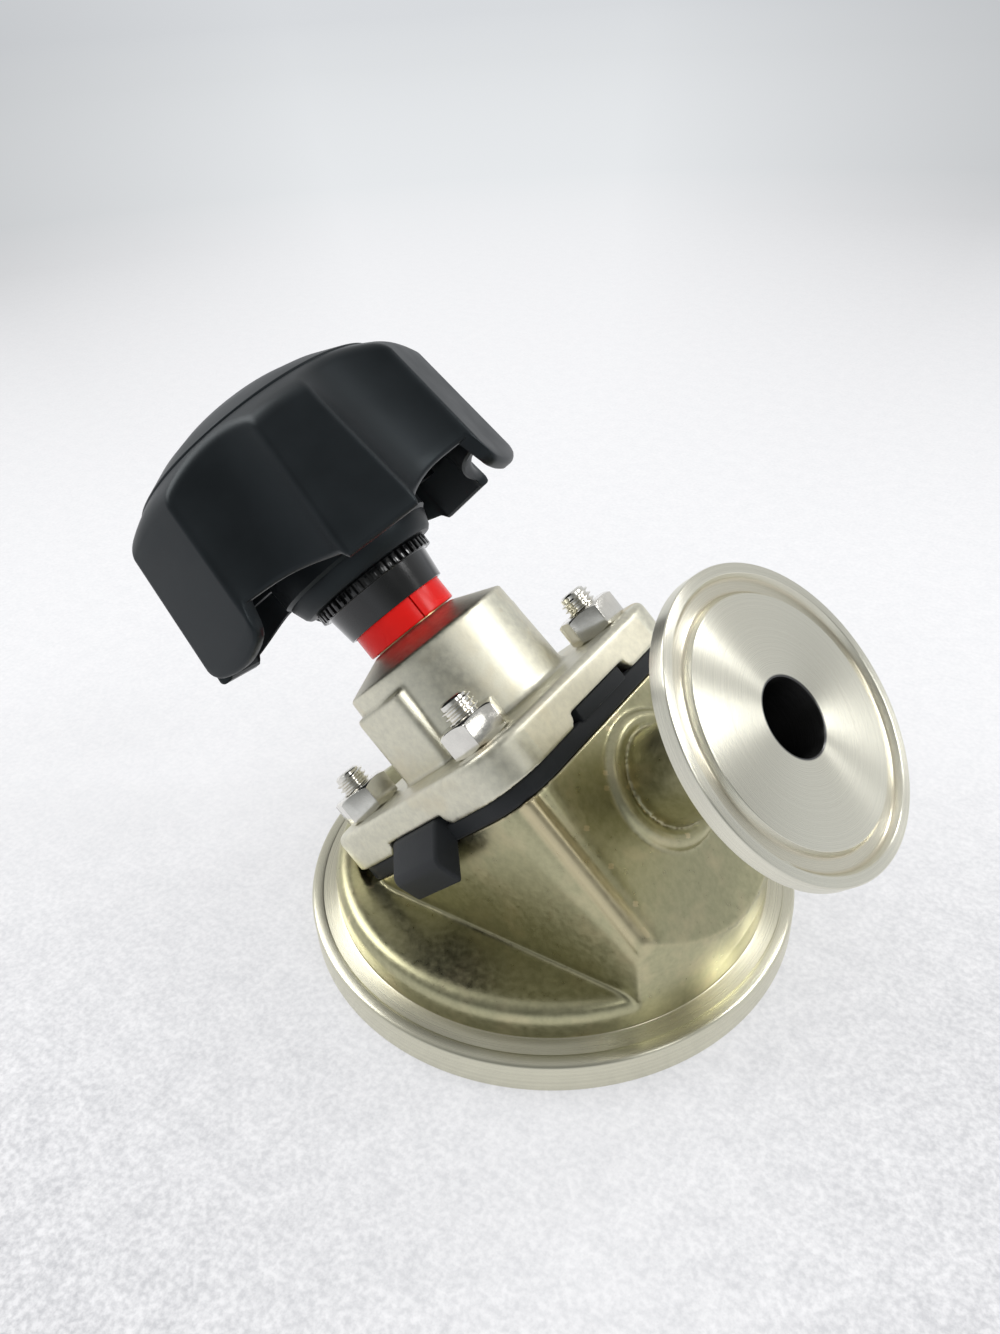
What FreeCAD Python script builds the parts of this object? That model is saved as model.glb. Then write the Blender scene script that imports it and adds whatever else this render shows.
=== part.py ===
import FreeCAD, Part
import math
import os

# A tank bottom valve: a weir diaphragm valve cast in one piece with its two clamp ferrules.
# The tank ferrule's face lies on z = 0 with its centre at the origin.
# The bonnet leans back at 45 degrees, and the outlet rises at 45 degrees the other way.
# The bonnet frame used below has u along the outlet, v to the back and s up the bonnet.

# Where the two axes cross, and their slope
CROSS_X = 4.4
CROSS_Z = 18.1
SLOPE = 45.0

# Tank ferrule and hub
TANK_FERRULE_R = 45.5
TANK_RIM_H = 5.2
TANK_EDGE = 0.7
TANK_BACK_H = 6.65
TANK_GROOVE_R = 41.75
HUB_R = 40.4
HUB_H = 12.6
HUB_SHOULDER = 2.3
HUB_FOOT = 0.8
TANK_BORE_R = 17.0
TANK_BORE_STRAIGHT = 4.0
TANK_WAY_TOP_X = -8.2
TANK_WAY_TOP_Z = 18.4
TANK_WAY_TOP_R = 8.0

# Outlet ferrule and neck
OUTLET_FACE_U = 54.7
OUTLET_FERRULE_R = 25.25
OUTLET_RIM = 2.85
OUTLET_TAPER = 20.0
OUTLET_TAPER_R = 21.0
OUTLET_GROOVE_R = 21.75
GROOVE_SECTION_R = 1.6
GROOVE_DEPTH = 1.25
NECK_R = 8.6
NECK_ROOT_R = 11.6
NECK_COLLAR_R = 10.6
NECK_COLLAR_SECTION_R = 1.5
NECK_COLLAR_U = 25.8
OUTLET_BORE_R = 6.35
OUTLET_BORE_END_U = 4.2

# Longer than any cut needs
TALL = 80.0

# Body block under the bonnet
SEAT_S = 13.8
BLOCK_TOP_HALF = 26.2
BLOCK_TOP_CORNER = 8.6
BLOCK_LOW_S = -30.0
BLOCK_LOW_HALF = 24.6
BLOCK_LOW_CORNER = 2.2
BOWL_R = 16.5
BOWL_FLOOR_S = 7.5
BOWL_CORNER = 3.5
WEIR_S = 12.0
WEIR_HALF = 2.6
WEIR_RISE = 1.5

# Diaphragm
RUBBER = 3.1
RUBBER_HALF = 26.5
RUBBER_CORNER = 8.8
DOME_R = 16.2
DOME_LIFT = 2.2
DOME_TOP_R = 15.8
DOME_TOP_LIFT = 1.7
TONGUE_HALF = 7.0
TONGUE_TOP_OUT = 27.8
TONGUE_OUT = 32.7
TONGUE_OUT_S = 13.9
TONGUE_TIP_OUT = 30.7
TONGUE_TIP_S = 8.6
TONGUE_FOOT_OUT = 26.2
TONGUE_ROUND = 2.2
TAB_TOP_S = 18.9
TAB_IN = 19.5
BUTTON_R = 4.6
BUTTON_TOP_S = 20.0
METAL_LOW_S = 17.5
METAL_HEAD_S = 18.7
METAL_HEAD_R = 3.2
METAL_SHANK_R = 2.0
METAL_TOP_S = 23.6

# Bonnet
FLANGE_H = 7.2
FLANGE_HALF = 27.4
FLANGE_CORNER = 9.0
FLANGE_EDGE = 1.3
NOTCH_HALF = 8.6
BOSS_FOOT_R = 17.7
BOSS_R = 17.0
BOSS_S = 41.84
BOSS_FILLET = 2.5
CONE_TOP_R = 8.4
CONE_TOP_S = 45.3
LUG_HALF = 7.1
LUG_OUT = 18.3
LUG_TOP_S = 38.6
CAVITY_R = 13.4
CAVITY_TOP_S = 30.0

# Studs and nuts
STUD_PITCH = 37.0
STUD_R = 3.0
STUD_LOW_S = 1.0
STUD_TOP_S = 32.8
NUT_AF = 10.0
NUT_H = 5.0

# Spindle group
SPINDLE_R = 4.0
SPINDLE_END_R = 3.0
SPINDLE_TOP_S = 82.0
SQUARE_AF = 6.0
SPINDLE_COLLAR_R = 5.2
PIN_R = 1.0
PIN_OFFSET = 3.1
PIN_S = 26.7
RUNNING = 0.05
BUSH_R = 7.0
BUSH_COLLAR_R = 7.7
BUSH_COLLAR_H = 0.6
BUSH_TOP_S = 52.8
BUSH_NECK_R = 6.9
BUSH_GROOVE_S = 41.0
BUSH_GROOVE_H = 1.6
SPINDLE_GROOVE_S = 47.0
SPINDLE_GROOVE_H = 1.8
SPINDLE_SEAL_R = 5.6
WIPER_H = 1.4
COMPRESSOR_R = 13.1
COMPRESSOR_LOW_S = 18.75
COMPRESSOR_FACE_R = 6.0
COMPRESSOR_EDGE_S = 20.4
COMPRESSOR_TOP_S = 24.0
COMPRESSOR_HUB_R = 7.0
COMPRESSOR_HUB_S = 28.5
COMPRESSOR_BORE_S = 24.5
KEY_WIDTH = 4.0
KEY_OUT = 15.4
WASHER_H = 0.5

# Position ring and sleeve
RING_LOW_S = 45.93
RING_TOP_S = 51.0
RING_R = 9.25
RING_SLIT = 0.35
RING_SLIT_ANGLE = -60.0
CIRCLIP_H = 0.8
CIRCLIP_R = 8.2
SLEEVE_LOW_S = 50.0
SLEEVE_LOW_R = 10.1
SLEEVE_WAIST_S = 55.5
SLEEVE_WAIST_R = 10.75
SLEEVE_IN_R = 9.5
SERRATION_TOP_S = 57.6
SERRATION_R = 12.1
SERRATION_DEPTH = 0.8
SERRATIONS = 48
SPIGOT_R = 11.0
SPIGOT_TOP_S = 62.0

# Handwheel
LOBES = 6
LOBE_ANGLE = -29.75
LOBE_LOW_S = 58.9
LOBE_LOW_R = 34.4
NARROW_LOW_HALF_ANGLE = 12.0
WIDE_HALF_ANGLE = 16.5
FLUTE_LOW_R = 29.6
LOBE_TOP_S = SPINDLE_TOP_S + 6.0
LOBE_TOP_R = 31.2
NARROW_TOP_HALF_ANGLE = 8.5
FLUTE_TOP_R = 27.0
WALL = 2.6
ROOF_S = SPINDLE_TOP_S - 2.0
DOME_TOP_S = SPINDLE_TOP_S + 13.3
KNOB_DOME_R = 50.0
ARCH_LOW_S = 60.1
ARCH_MID_S = 62.55
ARCH_HIGH_S = 63.8
WIDE_LOBE_CORNER = 2.4
HUB_COLLAR_LOW_R = 14.0
HUB_COLLAR_R = 15.0
HUB_COLLAR_S = 61.0
HUB_COLLAR_LOW_S = 57.7
HUB_WALL_R = 15.6
RIB = 2.0
RIB_LOW_S = 67.0
CAP_R = 25.5
CAP_T = 2.0
SCREW_WELL_R = 8.5
SCREW_R = 2.5
SCREW_HEAD_R = 4.25
SCREW_HEAD_H = 4.4
SCREW_LENGTH = 14.0
HANDWHEEL_WASHER_R = 6.5
HANDWHEEL_WASHER_H = 1.2

RUBBER_TOP_S = SEAT_S + RUBBER
FLANGE_TOP_S = RUBBER_TOP_S + FLANGE_H
STUD_SPOTS = [(x, y) for x in (-STUD_PITCH / 2, STUD_PITCH / 2) for y in (-STUD_PITCH / 2, STUD_PITCH / 2)]


# Drawing helpers

def point(x, y, z):
    return FreeCAD.Vector(x, y, z)


def edges_of(steps):
    # A step is a point, or a pair of points that an arc passes through and ends at
    edges = []
    start = steps[0]
    for step in steps[1:] + [steps[0]]:
        if isinstance(step, tuple):
            edges.append(Part.Arc(start, step[0], step[1]).toShape())
            start = step[1]
        elif start.distanceToPoint(step) > 1e-6:
            edges.append(Part.makeLine(start, step))
            start = step
    return edges


def face_of(steps):
    return Part.Face(Part.Wire(edges_of(steps)))


def half(step):
    # A profile step is (radius, height), or four numbers for an arc by way of its middle
    if len(step) == 4:
        return (point(step[0], 0, step[1]), point(step[2], 0, step[3]))
    return point(step[0], 0, step[1])


def turned(profile):
    return face_of([half(step) for step in profile]).revolve(point(0, 0, 0), point(0, 0, 1), 360)


def corner_arc(cx, cz, radius, start, end):
    # The middle and end of a quarter round, for a profile
    middle = math.radians((start + end) / 2)
    last = math.radians(end)
    return (
        cx + radius * math.cos(middle),
        cz + radius * math.sin(middle),
        cx + radius * math.cos(last),
        cz + radius * math.sin(last),
    )


def drum(radius, low, high):
    return Part.makeCylinder(radius, high - low, point(0, 0, low))


def tube(inner, outer, low, high):
    return drum(outer, low, high).cut(drum(inner, low - 1, high + 1))


def block(x0, x1, y0, y1, z0, z1):
    return Part.makeBox(x1 - x0, y1 - y0, z1 - z0, point(x0, y0, z0))


def rounded_square(half_size, corner, level):
    steps = []
    spots = ((1, 1, 0), (-1, 1, 90), (-1, -1, 180), (1, -1, 270))
    inner = half_size - corner
    for sx, sy, start in spots:
        middle = math.radians(start + 45)
        last = math.radians(start + 90)
        first = math.radians(start)
        cx = sx * inner
        cy = sy * inner
        steps.append(point(cx + corner * math.cos(first), cy + corner * math.sin(first), level))
        arc_middle = point(cx + corner * math.cos(middle), cy + corner * math.sin(middle), level)
        arc_end = point(cx + corner * math.cos(last), cy + corner * math.sin(last), level)
        steps.append((arc_middle, arc_end))
    return Part.Wire(edges_of(steps))


def plate(half_size, corner, low, high):
    wire = rounded_square(half_size, corner, low)
    return Part.Face(wire).extrude(point(0, 0, high - low))


def fused(shapes):
    return shapes[0].multiFuse(shapes[1:]).removeSplitter()


def at_studs(shape):
    copies = []
    for x, y in STUD_SPOTS:
        copy = shape.copy()
        copy.translate(point(x, y, 0))
        copies.append(copy)
    return copies


def leaned(shape):
    # From the bonnet frame to the object's frame
    placed = shape.copy()
    placed.rotate(point(0, 0, 0), point(0, 1, 0), -SLOPE)
    placed.translate(point(CROSS_X, 0, CROSS_Z))
    return placed


def along_outlet(shape):
    # Turns a shape made about the vertical so that it lies along the outlet
    laid = shape.copy()
    laid.rotate(point(0, 0, 0), point(0, 1, 0), 90)
    return laid


def edges_at(shape, level):
    return [e for e in shape.Edges if all(abs(v.Z - level) < 1e-4 for v in e.Vertexes)]


# Cast body

def tank_ferrule():
    edge_start = TANK_RIM_H
    profile = [
        (0, 0),
        (TANK_FERRULE_R - 0.4, 0),
        (TANK_FERRULE_R, 0.4),
        (TANK_FERRULE_R, edge_start),
        corner_arc(TANK_FERRULE_R - TANK_EDGE, edge_start, TANK_EDGE, 0, 80),
        (HUB_R + HUB_FOOT, TANK_BACK_H),
        corner_arc(HUB_R + HUB_FOOT, TANK_BACK_H + HUB_FOOT, HUB_FOOT, 270, 180),
        (HUB_R, HUB_H - HUB_SHOULDER),
        corner_arc(HUB_R - HUB_SHOULDER, HUB_H - HUB_SHOULDER, HUB_SHOULDER, 0, 90),
        (0, HUB_H),
    ]
    return turned(profile)


def gasket_groove(radius):
    return Part.makeTorus(radius, GROOVE_SECTION_R, point(0, 0, GROOVE_DEPTH - GROOVE_SECTION_R))


def body_block():
    top = rounded_square(BLOCK_TOP_HALF, BLOCK_TOP_CORNER, SEAT_S)
    low = rounded_square(BLOCK_LOW_HALF, BLOCK_LOW_CORNER, BLOCK_LOW_S)
    raw = leaned(Part.makeLoft([low, top], True, True))
    return raw.common(drum(HUB_R, TANK_BACK_H, TALL))


def outlet_neck():
    taper = (OUTLET_FERRULE_R - OUTLET_TAPER_R) * math.tan(math.radians(OUTLET_TAPER))
    rim_back = OUTLET_FACE_U - OUTLET_RIM
    back = rim_back - taper
    root = NECK_ROOT_R - NECK_R
    collar_out = NECK_COLLAR_R + NECK_COLLAR_SECTION_R
    valley = corner_arc(NECK_COLLAR_R, NECK_COLLAR_U, NECK_COLLAR_SECTION_R, 90, 150)
    profile = [
        (0, 16),
        (collar_out, 16),
        (collar_out, NECK_COLLAR_U),
        corner_arc(NECK_COLLAR_R, NECK_COLLAR_U, NECK_COLLAR_SECTION_R, 0, 90),
        valley,
        (NECK_R, valley[3]),
        (NECK_R, back - root),
        corner_arc(NECK_ROOT_R, back - root, root, 180, 90),
        (OUTLET_TAPER_R, back),
        (OUTLET_FERRULE_R, rim_back),
        (OUTLET_FERRULE_R, OUTLET_FACE_U - 0.3),
        (OUTLET_FERRULE_R - 0.3, OUTLET_FACE_U),
        (0, OUTLET_FACE_U),
    ]
    groove = Part.makeTorus(
        OUTLET_GROOVE_R, GROOVE_SECTION_R, point(0, 0, OUTLET_FACE_U - GROOVE_DEPTH + GROOVE_SECTION_R)
    )
    return leaned(along_outlet(turned(profile).cut(groove)))


def bonnet_seat_clearance():
    # What the leaning bonnet flange needs cut out of the hub's flat top
    gap = 0.6
    return leaned(plate(FLANGE_HALF + gap, FLANGE_CORNER + gap, SEAT_S, 60))


def bowl():
    profile = [
        (0, BOWL_FLOOR_S),
        (BOWL_R - BOWL_CORNER, BOWL_FLOOR_S),
        corner_arc(BOWL_R - BOWL_CORNER, BOWL_FLOOR_S + BOWL_CORNER, BOWL_CORNER, 270, 360),
        (BOWL_R, SEAT_S + 1),
        (0, SEAT_S + 1),
    ]
    return turned(profile)


def weir():
    # The wall across the bowl, its crest a shallow saddle
    edge = WEIR_S + WEIR_RISE
    saddle = [
        point(0, -BOWL_R - 1, BOWL_FLOOR_S - 2),
        point(0, BOWL_R + 1, BOWL_FLOOR_S - 2),
        point(0, BOWL_R + 1, edge),
        (point(0, 0, WEIR_S), point(0, -BOWL_R - 1, edge)),
    ]
    wall = face_of(saddle).extrude(point(2 * WEIR_HALF, 0, 0))
    wall.translate(point(-WEIR_HALF, 0, 0))
    crest = [e for e in wall.Edges if e.BoundBox.XLength < 1e-6 and e.BoundBox.YLength > BOWL_R]
    crest = [e for e in crest if e.BoundBox.ZMax > WEIR_S]
    return wall.makeFillet(WEIR_HALF * 0.7, crest).common(drum(BOWL_R + 0.5, BOWL_FLOOR_S - 2, SEAT_S))


def outlet_way():
    bore = along_outlet(drum(OUTLET_BORE_R, OUTLET_BORE_END_U, OUTLET_FACE_U + 1))
    pocket = Part.makeCylinder(OUTLET_BORE_R, BOWL_FLOOR_S + 3, point(OUTLET_BORE_END_U + OUTLET_BORE_R, 0, 0))
    return leaned(bore.fuse(pocket))


def tank_way():
    straight = drum(TANK_BORE_R, -1, TANK_BORE_STRAIGHT)
    mouth = Part.Wire(Part.makeCircle(TANK_BORE_R, point(0, 0, TANK_BORE_STRAIGHT)))
    throat = Part.Wire(Part.makeCircle(TANK_WAY_TOP_R, point(TANK_WAY_TOP_X, 0, TANK_WAY_TOP_Z)))
    return straight.fuse(Part.makeLoft([mouth, throat], True, True))


def stud_holes(radius, low, high):
    return Part.makeCompound(at_studs(drum(radius, low, high)))


def valve_body():
    solid = fused([tank_ferrule(), body_block()])
    solid = solid.cut(bonnet_seat_clearance())
    solid = solid.fuse(outlet_neck())
    solid = solid.cut(leaned(bowl().cut(weir())))
    solid = solid.cut(outlet_way())
    solid = solid.cut(tank_way())
    solid = solid.cut(gasket_groove(TANK_GROOVE_R))
    return solid.cut(leaned(stud_holes(STUD_R, STUD_LOW_S, SEAT_S + 5)))


# Diaphragm and what is moulded into it

def cap_ball(rim_r, rim_s, lift):
    radius = (rim_r * rim_r + lift * lift) / (2 * lift)
    return Part.makeSphere(radius, point(0, 0, rim_s + lift - radius))


def tongue():
    # The tab outside the body that carries the batch marks on the real part
    outline = [
        point(0, -TAB_IN, RUBBER_TOP_S - 0.5),
        point(0, -TAB_IN, TAB_TOP_S),
        point(0, -TONGUE_TOP_OUT, TAB_TOP_S),
        point(0, -TONGUE_OUT, TONGUE_OUT_S),
        point(0, -TONGUE_TIP_OUT, TONGUE_TIP_S),
        point(0, -TONGUE_FOOT_OUT, SEAT_S),
    ]
    solid = face_of(outline).extrude(point(2 * TONGUE_HALF, 0, 0))
    solid.translate(point(-TONGUE_HALF, 0, 0))
    long_edges = [e for e in solid.Edges if e.BoundBox.XLength > TONGUE_HALF]
    brow = [e for e in long_edges if abs(e.BoundBox.YMin + TONGUE_OUT) < 1e-4]
    solid = solid.makeFillet(TONGUE_ROUND, brow)
    outer = -(TONGUE_TOP_OUT + TONGUE_FOOT_OUT) / 2
    sides = [e for e in solid.Edges if e.BoundBox.XLength < 1e-6 and e.BoundBox.YMin < outer]
    sides = [e for e in sides if e.BoundBox.YMax < -TONGUE_FOOT_OUT + 0.2]
    return solid.makeFillet(0.9, sides)


def side_tab(turn):
    tab = block(TAB_IN, RUBBER_HALF + 0.4, -TONGUE_HALF, TONGUE_HALF, RUBBER_TOP_S - 0.5, TAB_TOP_S)
    tab.rotate(point(0, 0, 0), point(0, 0, 1), turn)
    return tab


def diaphragm_local():
    sheet = plate(RUBBER_HALF, RUBBER_CORNER, SEAT_S, RUBBER_TOP_S)
    upper = cap_ball(DOME_TOP_R, RUBBER_TOP_S, DOME_TOP_LIFT)
    upper = upper.common(drum(DOME_TOP_R + 1, RUBBER_TOP_S - 1, CAVITY_TOP_S))
    button = drum(BUTTON_R, RUBBER_TOP_S, BUTTON_TOP_S)
    tabs = [side_tab(turn) for turn in (0, 90, 180)]
    solid = fused([sheet, upper, button, tongue()] + tabs)
    solid = solid.cut(cap_ball(DOME_R, SEAT_S, DOME_LIFT))
    solid = solid.cut(stud_holes(STUD_R + 0.3, SEAT_S - 1, RUBBER_TOP_S + 1))
    return solid.cut(diaphragm_stud_local())


def diaphragm_stud_local():
    profile = [
        (0, METAL_LOW_S),
        (METAL_HEAD_R, METAL_LOW_S),
        (METAL_HEAD_R, METAL_HEAD_S),
        (METAL_SHANK_R, METAL_HEAD_S),
        (METAL_SHANK_R, METAL_TOP_S),
        (0, METAL_TOP_S),
    ]
    return turned(profile)


# Bonnet

def notch(turn):
    # A slot in the flange's lower edge, wider at its mouth
    flare = 1.2
    start = TAB_IN - 0.5
    depth = FLANGE_HALF - start + 5
    steps = [
        point(start, -NOTCH_HALF, RUBBER_TOP_S - 1),
        point(start, NOTCH_HALF, RUBBER_TOP_S - 1),
        point(start, NOTCH_HALF, TAB_TOP_S + 0.1),
        point(start, -NOTCH_HALF, TAB_TOP_S + 0.1),
    ]
    slot = face_of(steps).extrude(point(depth, 0, 0))
    mouth = face_of([
        point(start, -NOTCH_HALF - flare, RUBBER_TOP_S - 0.01),
        point(start, NOTCH_HALF + flare, RUBBER_TOP_S - 0.01),
        point(start, NOTCH_HALF, RUBBER_TOP_S + flare),
        point(start, -NOTCH_HALF, RUBBER_TOP_S + flare),
    ]).extrude(point(depth, 0, 0))
    cutter = slot.fuse(mouth)
    cutter.rotate(point(0, 0, 0), point(0, 0, 1), turn)
    return cutter


def bonnet_flange():
    solid = plate(FLANGE_HALF, FLANGE_CORNER, RUBBER_TOP_S, FLANGE_TOP_S)
    return solid.makeFillet(FLANGE_EDGE, edges_at(solid, FLANGE_TOP_S))


def bonnet_boss():
    foot = BOSS_FOOT_R
    profile = [
        (0, RUBBER_TOP_S + 1),
        (foot + BOSS_FILLET, RUBBER_TOP_S + 1),
        (foot + BOSS_FILLET, FLANGE_TOP_S),
        corner_arc(foot + BOSS_FILLET, FLANGE_TOP_S + BOSS_FILLET, BOSS_FILLET, 270, 180),
        (BOSS_R, BOSS_S - 0.5),
        (BOSS_R - 0.4, BOSS_S),
        (CONE_TOP_R, CONE_TOP_S),
        (0, CONE_TOP_S),
    ]
    return turned(profile)


def bonnet_lug(side):
    foot = FLANGE_TOP_S - 1
    lug = block(-LUG_HALF, LUG_HALF, 0, LUG_OUT, foot, LUG_TOP_S)
    rounds = [e for e in lug.Edges if e.BoundBox.YMin > LUG_OUT - 0.01 and e.BoundBox.ZMax > foot + 1]
    lug = lug.makeFillet(1.0, rounds)
    if side < 0:
        lug.rotate(point(0, 0, 0), point(0, 0, 1), 180)
    return lug


def bonnet_cavity():
    profile = [
        (0, RUBBER_TOP_S - 1),
        (BOWL_R, RUBBER_TOP_S - 1),
        (BOWL_R, RUBBER_TOP_S + 2),
        (CAVITY_R, RUBBER_TOP_S + 4),
        (CAVITY_R, CAVITY_TOP_S),
        (0, CAVITY_TOP_S),
    ]
    slot_half = KEY_WIDTH / 2 + 0.15
    slot_out = KEY_OUT + 0.25
    slots = block(-slot_half, slot_half, -slot_out, slot_out, RUBBER_TOP_S - 1, CAVITY_TOP_S)
    return turned(profile).fuse(slots)


def bonnet_local():
    solid = fused([bonnet_flange(), bonnet_boss(), bonnet_lug(1), bonnet_lug(-1)])
    solid = solid.cut(bonnet_cavity())
    solid = solid.cut(drum(BUSH_R, CAVITY_TOP_S - 1, CONE_TOP_S + 1))
    solid = solid.cut(stud_holes(STUD_R + 0.3, RUBBER_TOP_S - 1, FLANGE_TOP_S + 1))
    for turn in (0, 90, 180, 270):
        solid = solid.cut(notch(turn))
    return solid


# Fasteners

def nut():
    across_corners = NUT_AF / math.cos(math.radians(30))
    corners = []
    for k in range(6):
        turn = math.radians(60 * k + 15)
        corners.append(point(across_corners / 2 * math.cos(turn), across_corners / 2 * math.sin(turn), FLANGE_TOP_S))
    hexagon = face_of(corners).extrude(point(0, 0, NUT_H))
    top = FLANGE_TOP_S + NUT_H
    chamfer = turned([
        (0, FLANGE_TOP_S),
        (across_corners / 2 + 0.1, FLANGE_TOP_S),
        (across_corners / 2 + 0.1, top - 0.55),
        (NUT_AF / 2 * 0.97, top),
        (0, top),
    ])
    return hexagon.common(chamfer).cut(drum(STUD_R, FLANGE_TOP_S - 1, top + 1))


def stud():
    chamfer = 0.5
    return turned([
        (0, STUD_LOW_S),
        (STUD_R, STUD_LOW_S),
        (STUD_R, STUD_TOP_S - chamfer),
        (STUD_R - chamfer, STUD_TOP_S),
        (0, STUD_TOP_S),
    ])


# Spindle group

def compressor_local():
    profile = [
        (0, COMPRESSOR_LOW_S),
        (COMPRESSOR_FACE_R, COMPRESSOR_LOW_S),
        (COMPRESSOR_R, COMPRESSOR_EDGE_S),
        (COMPRESSOR_R, COMPRESSOR_TOP_S),
        (COMPRESSOR_HUB_R, COMPRESSOR_TOP_S),
        (COMPRESSOR_HUB_R, COMPRESSOR_HUB_S),
        (0, COMPRESSOR_HUB_S),
    ]
    key_half = KEY_WIDTH / 2
    keys = block(-key_half, key_half, -KEY_OUT, KEY_OUT, COMPRESSOR_EDGE_S + 0.6, COMPRESSOR_TOP_S)
    solid = fused([turned(profile), keys])
    solid = solid.cut(drum(BUTTON_R + 0.3, COMPRESSOR_LOW_S - 1, BUTTON_TOP_S + 0.3))
    solid = solid.cut(drum(METAL_SHANK_R, BUTTON_TOP_S, METAL_TOP_S))
    solid = solid.cut(drum(SPINDLE_END_R + RUNNING, COMPRESSOR_BORE_S, COMPRESSOR_HUB_S + 1))
    return solid.cut(Part.makeCompound(compressor_pins_local()))


def compressor_pins_local():
    length = 2 * COMPRESSOR_HUB_R - 2.2
    pins = []
    for side in (-1, 1):
        start = point(side * PIN_OFFSET, -length / 2, PIN_S)
        pins.append(Part.makeCylinder(PIN_R, length, start, point(0, 1, 0)))
    return pins


def thrust_washer_local():
    return drum(SPINDLE_END_R - 0.1, COMPRESSOR_BORE_S, COMPRESSOR_BORE_S + WASHER_H)


def spindle_local():
    groove = PIN_R + RUNNING
    groove_r = PIN_OFFSET - groove
    low = COMPRESSOR_BORE_S + WASHER_H
    collar_top = CAVITY_TOP_S - 0.05
    profile = [
        (0, low),
        (SPINDLE_END_R - 0.3, low),
        (SPINDLE_END_R, low + 0.3),
        (SPINDLE_END_R, PIN_S - groove),
        (groove_r, PIN_S - groove),
        (groove_r, PIN_S + groove),
        (SPINDLE_END_R, PIN_S + groove),
        (SPINDLE_END_R, COMPRESSOR_HUB_S + 0.2),
        (SPINDLE_COLLAR_R, COMPRESSOR_HUB_S + 0.2),
        (SPINDLE_COLLAR_R, collar_top),
        (SPINDLE_R, collar_top),
        (SPINDLE_R, SPIGOT_TOP_S),
        (SPINDLE_R, SPINDLE_TOP_S),
        (0, SPINDLE_TOP_S),
    ]
    square = block(-SQUARE_AF / 2, SQUARE_AF / 2, -SQUARE_AF / 2, SQUARE_AF / 2, SPIGOT_TOP_S, SPINDLE_TOP_S)
    solid = turned(profile)
    top = solid.common(drum(20, SPIGOT_TOP_S, SPINDLE_TOP_S)).common(square)
    solid = solid.cut(drum(20, SPIGOT_TOP_S, SPINDLE_TOP_S + 1)).fuse(top).removeSplitter()
    return solid.cut(drum(SCREW_R, SPINDLE_TOP_S - SCREW_LENGTH, SPINDLE_TOP_S + 1))


def spindle_bush_local():
    collar_low = CONE_TOP_S
    profile = [
        (0, CAVITY_TOP_S),
        (BUSH_R, CAVITY_TOP_S),
        (BUSH_R, collar_low),
        (BUSH_COLLAR_R, collar_low),
        (BUSH_COLLAR_R, collar_low + BUSH_COLLAR_H),
        (BUSH_NECK_R, collar_low + BUSH_COLLAR_H),
        (BUSH_NECK_R, BUSH_TOP_S),
        (0, BUSH_TOP_S),
    ]
    solid = turned(profile).cut(drum(SPINDLE_R + RUNNING, CAVITY_TOP_S - 1, BUSH_TOP_S + 1))
    solid = solid.cut(tube(BUSH_NECK_R - 0.7, BUSH_NECK_R + 1, RING_TOP_S, RING_TOP_S + CIRCLIP_H))
    solid = solid.cut(tube(BUSH_R - 1.1, BUSH_R + 1, BUSH_GROOVE_S, BUSH_GROOVE_S + BUSH_GROOVE_H))
    solid = solid.cut(drum(SPINDLE_SEAL_R, SPINDLE_GROOVE_S, SPINDLE_GROOVE_S + SPINDLE_GROOVE_H))
    return solid.cut(drum(SPINDLE_SEAL_R, BUSH_TOP_S - WIPER_H, BUSH_TOP_S + 1))


def bush_o_ring_local():
    return Part.makeTorus(BUSH_R - 0.55, 0.54, point(0, 0, BUSH_GROOVE_S + BUSH_GROOVE_H / 2))


def spindle_o_ring_local():
    section = (SPINDLE_SEAL_R - SPINDLE_R - RUNNING) / 2
    middle = SPINDLE_GROOVE_S + SPINDLE_GROOVE_H / 2
    return Part.makeTorus(SPINDLE_R + RUNNING + section, section, point(0, 0, middle))


def spindle_wiper_local():
    return tube(SPINDLE_R + RUNNING, SPINDLE_SEAL_R, BUSH_TOP_S - WIPER_H, BUSH_TOP_S)


def slit(width, angle, low, high):
    cut = block(0, 20, -width / 2, width / 2, low, high)
    cut.rotate(point(0, 0, 0), point(0, 0, 1), angle)
    return cut


def indicator_ring_local():
    edge = 0.25
    solid = turned([
        (BUSH_NECK_R, RING_LOW_S),
        (RING_R - edge, RING_LOW_S),
        (RING_R, RING_LOW_S + edge),
        (RING_R, RING_TOP_S - edge),
        (RING_R - edge, RING_TOP_S),
        (BUSH_NECK_R, RING_TOP_S),
    ])
    return solid.cut(slit(RING_SLIT, RING_SLIT_ANGLE, RING_LOW_S - 1, RING_TOP_S + 1))


def ring_circlip_local():
    solid = tube(BUSH_NECK_R - 0.7, CIRCLIP_R, RING_TOP_S, RING_TOP_S + CIRCLIP_H)
    return solid.cut(slit(3.0, 120, RING_TOP_S - 1, RING_TOP_S + CIRCLIP_H + 1))


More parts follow.
